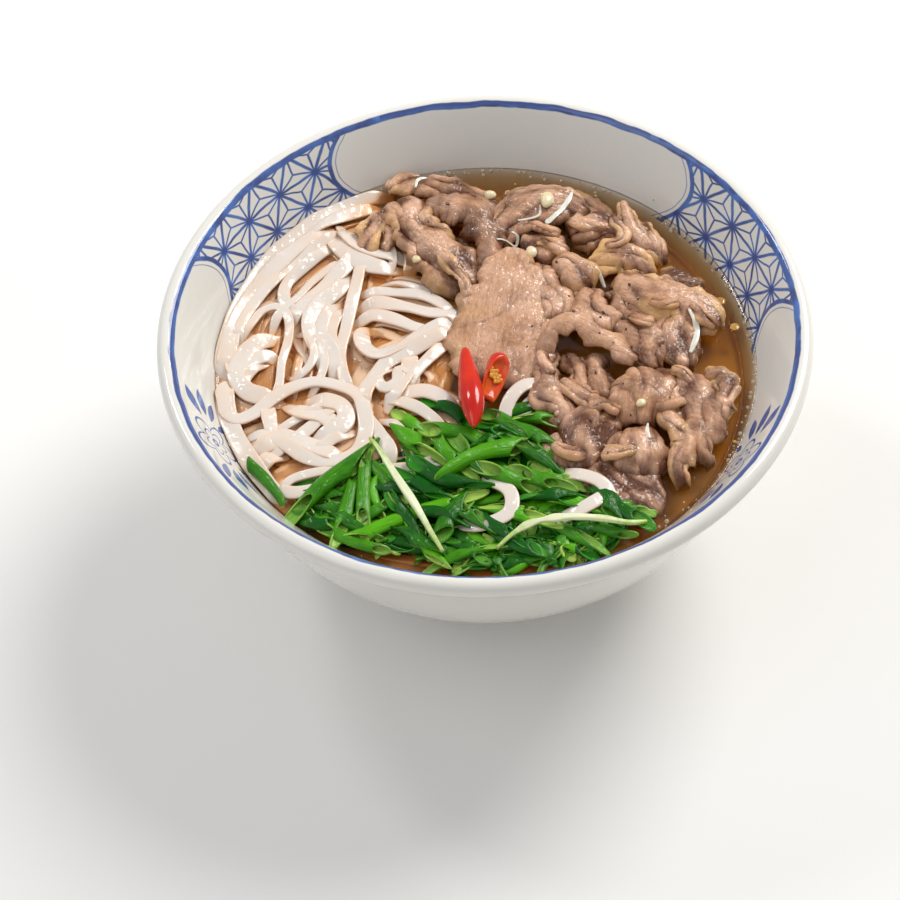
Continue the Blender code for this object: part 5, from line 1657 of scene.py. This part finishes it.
def lay_bubbles(settings, draw):
    """Bubbles along the edge of the broth, most of them at the back and the right."""
    bm = bmesh.new()
    edge = wall_radius(BROTH_LEVEL)
    for _ in range(settings.bubbles):
        turn = math.radians(draw.choice((draw.gauss(88, 22), draw.gauss(35, 14), draw.gauss(-20, 16),
                                         draw.uniform(0, 360))))
        size = draw.choice((0.2, 0.3, 0.4, 0.6)) * draw.uniform(0.8, 1.2)
        far = edge + 0.2 - draw.expovariate(1.2) - 0.5 * size
        made = bmesh.ops.create_uvsphere(bm, u_segments=12, v_segments=8, radius=size)["verts"]
        place = (far * math.cos(turn), far * math.sin(turn),
                 BROTH_LEVEL + 0.1 + 0.12 * (far > edge - 1))
        bmesh.ops.translate(bm, vec=place, verts=made)
    finish_mesh(bm, "bubbles", bubble_material(), [])


def lay_drops(settings, draw):
    """Flat drops of fat on the open broth."""
    bm = bmesh.new()
    for _ in range(settings.droplets):
        turn, far = draw.uniform(0, math.tau), 83 * math.sqrt(draw.random())
        x, y = far * math.cos(turn), far * math.sin(turn)
        size = draw.uniform(0.3, 1.0) ** 2 * 1.4 + 0.2
        if on_beef(x, y) < -0.2 and not in_noodles(x, y):
            made = bmesh.ops.create_uvsphere(bm, u_segments=16, v_segments=8, radius=size)["verts"]
            lie = Matrix.Translation((x, y, BROTH_LEVEL + 0.08)) @ Matrix.Diagonal((1, 1, 0.16, 1))
            bmesh.ops.transform(bm, matrix=lie, verts=made)
    oil = gloss_material("drops_of_fat", colour("#C98F3C"), colour("#E2B467"), 300.0, 0.06, 0.3)
    finish_mesh(bm, "fat_drops", oil, [])


class SOUP_OT_bits(bpy.types.Operator):
    """Pepper, streaks of fat and painted highlights, pale bits, bubbles and drops of fat"""
    bl_idname = "soup.bits"
    bl_label = "Small things"

    def execute(self, context):
        settings = context.scene.soup_bits
        draw = random.Random(BITS_SEED)
        lay_pepper(settings, draw)
        lay_streaks_and_glints(settings)
        lay_pale_bits(settings)
        lay_bubbles(settings, draw)
        lay_drops(settings, draw)
        return {"FINISHED"}


# ---- the stage ----
# Each light: its name, place and size in metres, its power in watts, and its tone.
LIGHTS = (("key", (0.85, 0.85, 1.2), 0.9, 22.5, (1.0, 0.98, 0.95)),
          ("window", (-0.75, 0.75, 1.15), 0.3, 3.5, (1.0, 1.0, 1.0)),
          ("fill", (-0.9, -0.4, 1.2), 1.2, 4.5, (0.97, 0.98, 1.0)))
LIT_POINT = (0, 0, 0.06)
ROOM_TONE, ROOM_STRENGTH = (0.97, 0.97, 1.0, 1), 0.42
AIM = (-0.122, -0.476)                                     # what the camera looks at, in radii of the rim
SENSOR, VIEW_ANGLE = 36.0, 20.0


def light(name, place, size, power, tone):
    """A round soft light that faces the bowl."""
    data = bpy.data.lights.new(name, "AREA")
    data.shape = "DISK"
    data.size = size
    data.energy = power
    data.color = tone
    lamp = bpy.data.objects.new(name, data)
    bpy.context.scene.collection.objects.link(lamp)
    lamp.location = place
    lamp.rotation_euler = (Vector(LIT_POINT) - Vector(place)).to_track_quat("-Z", "Y").to_euler()


class SOUP_OT_stage(bpy.types.Operator):
    """A pale floor, soft light and the camera"""
    bl_idname = "soup.stage"
    bl_label = "Stage"

    def execute(self, context):
        scene = context.scene
        settings = scene.soup_stage
        bm = bmesh.new()
        bmesh.ops.create_grid(bm, x_segments=4, y_segments=4, size=3.0)
        mesh = bpy.data.meshes.new("floor")
        bm.to_mesh(mesh)
        bm.free()
        floor = bpy.data.objects.new("floor", mesh)
        scene.collection.objects.link(floor)
        finish, tree = new_material("matt_floor")
        shader = add(tree, "BsdfPrincipled", {"Base Color": settings.floor, "Roughness": 0.7})
        mesh.materials.append(surfaced(finish, shader))
        floor.location.z = -0.0002

        for values in LIGHTS:
            light(*values)
        world = bpy.data.worlds.new("soft_room")
        scene.world = world
        world.use_nodes = True
        room = world.node_tree.nodes["Background"]
        room.inputs["Color"].default_value = ROOM_TONE
        room.inputs["Strength"].default_value = ROOM_STRENGTH
        scene.view_settings.view_transform = "Standard"

        # the camera looks down on the rim's plane from the front
        tall, lean = settings.camera_height, settings.camera_roll
        back = Vector((0, -math.cos(tall), math.sin(tall)))
        right = Vector((1, 0, 0))
        up = back.cross(right)
        across = right * math.cos(lean) + up * math.sin(lean)
        over = up * math.cos(lean) - right * math.sin(lean)
        aim = Vector((*AIM, 0)) * RIM_RADIUS * MM + Vector((0, 0, RIM_TOP - 2.3)) * MM
        data = bpy.data.cameras.new("camera")
        data.sensor_width = SENSOR
        data.lens = SENSOR / 2 / math.tan(math.radians(VIEW_ANGLE / 2))
        camera = bpy.data.objects.new("camera", data)
        scene.collection.objects.link(camera)
        turn = Matrix((across, over, back)).transposed()
        camera.matrix_world = Matrix.Translation(aim + back * settings.camera_distance) @ turn.to_4x4()
        scene.camera = camera
        return {"FINISHED"}


class SOUP_PT_panel(bpy.types.Panel):
    """Lists the pieces of the soup in the order in which they are made"""
    bl_label = "Pho noodle soup"
    bl_idname = "SOUP_PT_panel"
    bl_space_type = "VIEW_3D"
    bl_region_type = "UI"
    bl_category = "Soup"

    def draw(self, context):
        for operator in OPERATORS:
            self.layout.operator(operator.bl_idname)


PROPERTY_GROUPS = {"soup_bowl": BowlSettings, "soup_broth": BrothSettings, "soup_noodles": NoodleSettings,
                   "soup_beef": BeefSettings, "soup_onion": OnionSettings, "soup_chilli": ChilliSettings,
                   "soup_bits": BitsSettings, "soup_stage": StageSettings}
OPERATORS = (SOUP_OT_bowl, SOUP_OT_broth, SOUP_OT_noodles, SOUP_OT_beef, SOUP_OT_spring_onion,
             SOUP_OT_chillies, SOUP_OT_bits, SOUP_OT_stage)


def register():
    for group in PROPERTY_GROUPS.values():
        bpy.utils.register_class(group)
    for operator in OPERATORS:
        bpy.utils.register_class(operator)
    bpy.utils.register_class(SOUP_PT_panel)
    for name, group in PROPERTY_GROUPS.items():
        setattr(bpy.types.Scene, name, PointerProperty(type=group))


def unregister():
    for name in PROPERTY_GROUPS:
        delattr(bpy.types.Scene, name)
    bpy.utils.unregister_class(SOUP_PT_panel)
    for operator in reversed(OPERATORS):
        bpy.utils.unregister_class(operator)
    for group in reversed(list(PROPERTY_GROUPS.values())):
        bpy.utils.unregister_class(group)


def main():
    register()
    for operator in OPERATORS:
        family, name = operator.bl_idname.split(".")
        getattr(getattr(bpy.ops, family), name)()
    remove_templates()


if __name__ == "__main__":
    main()
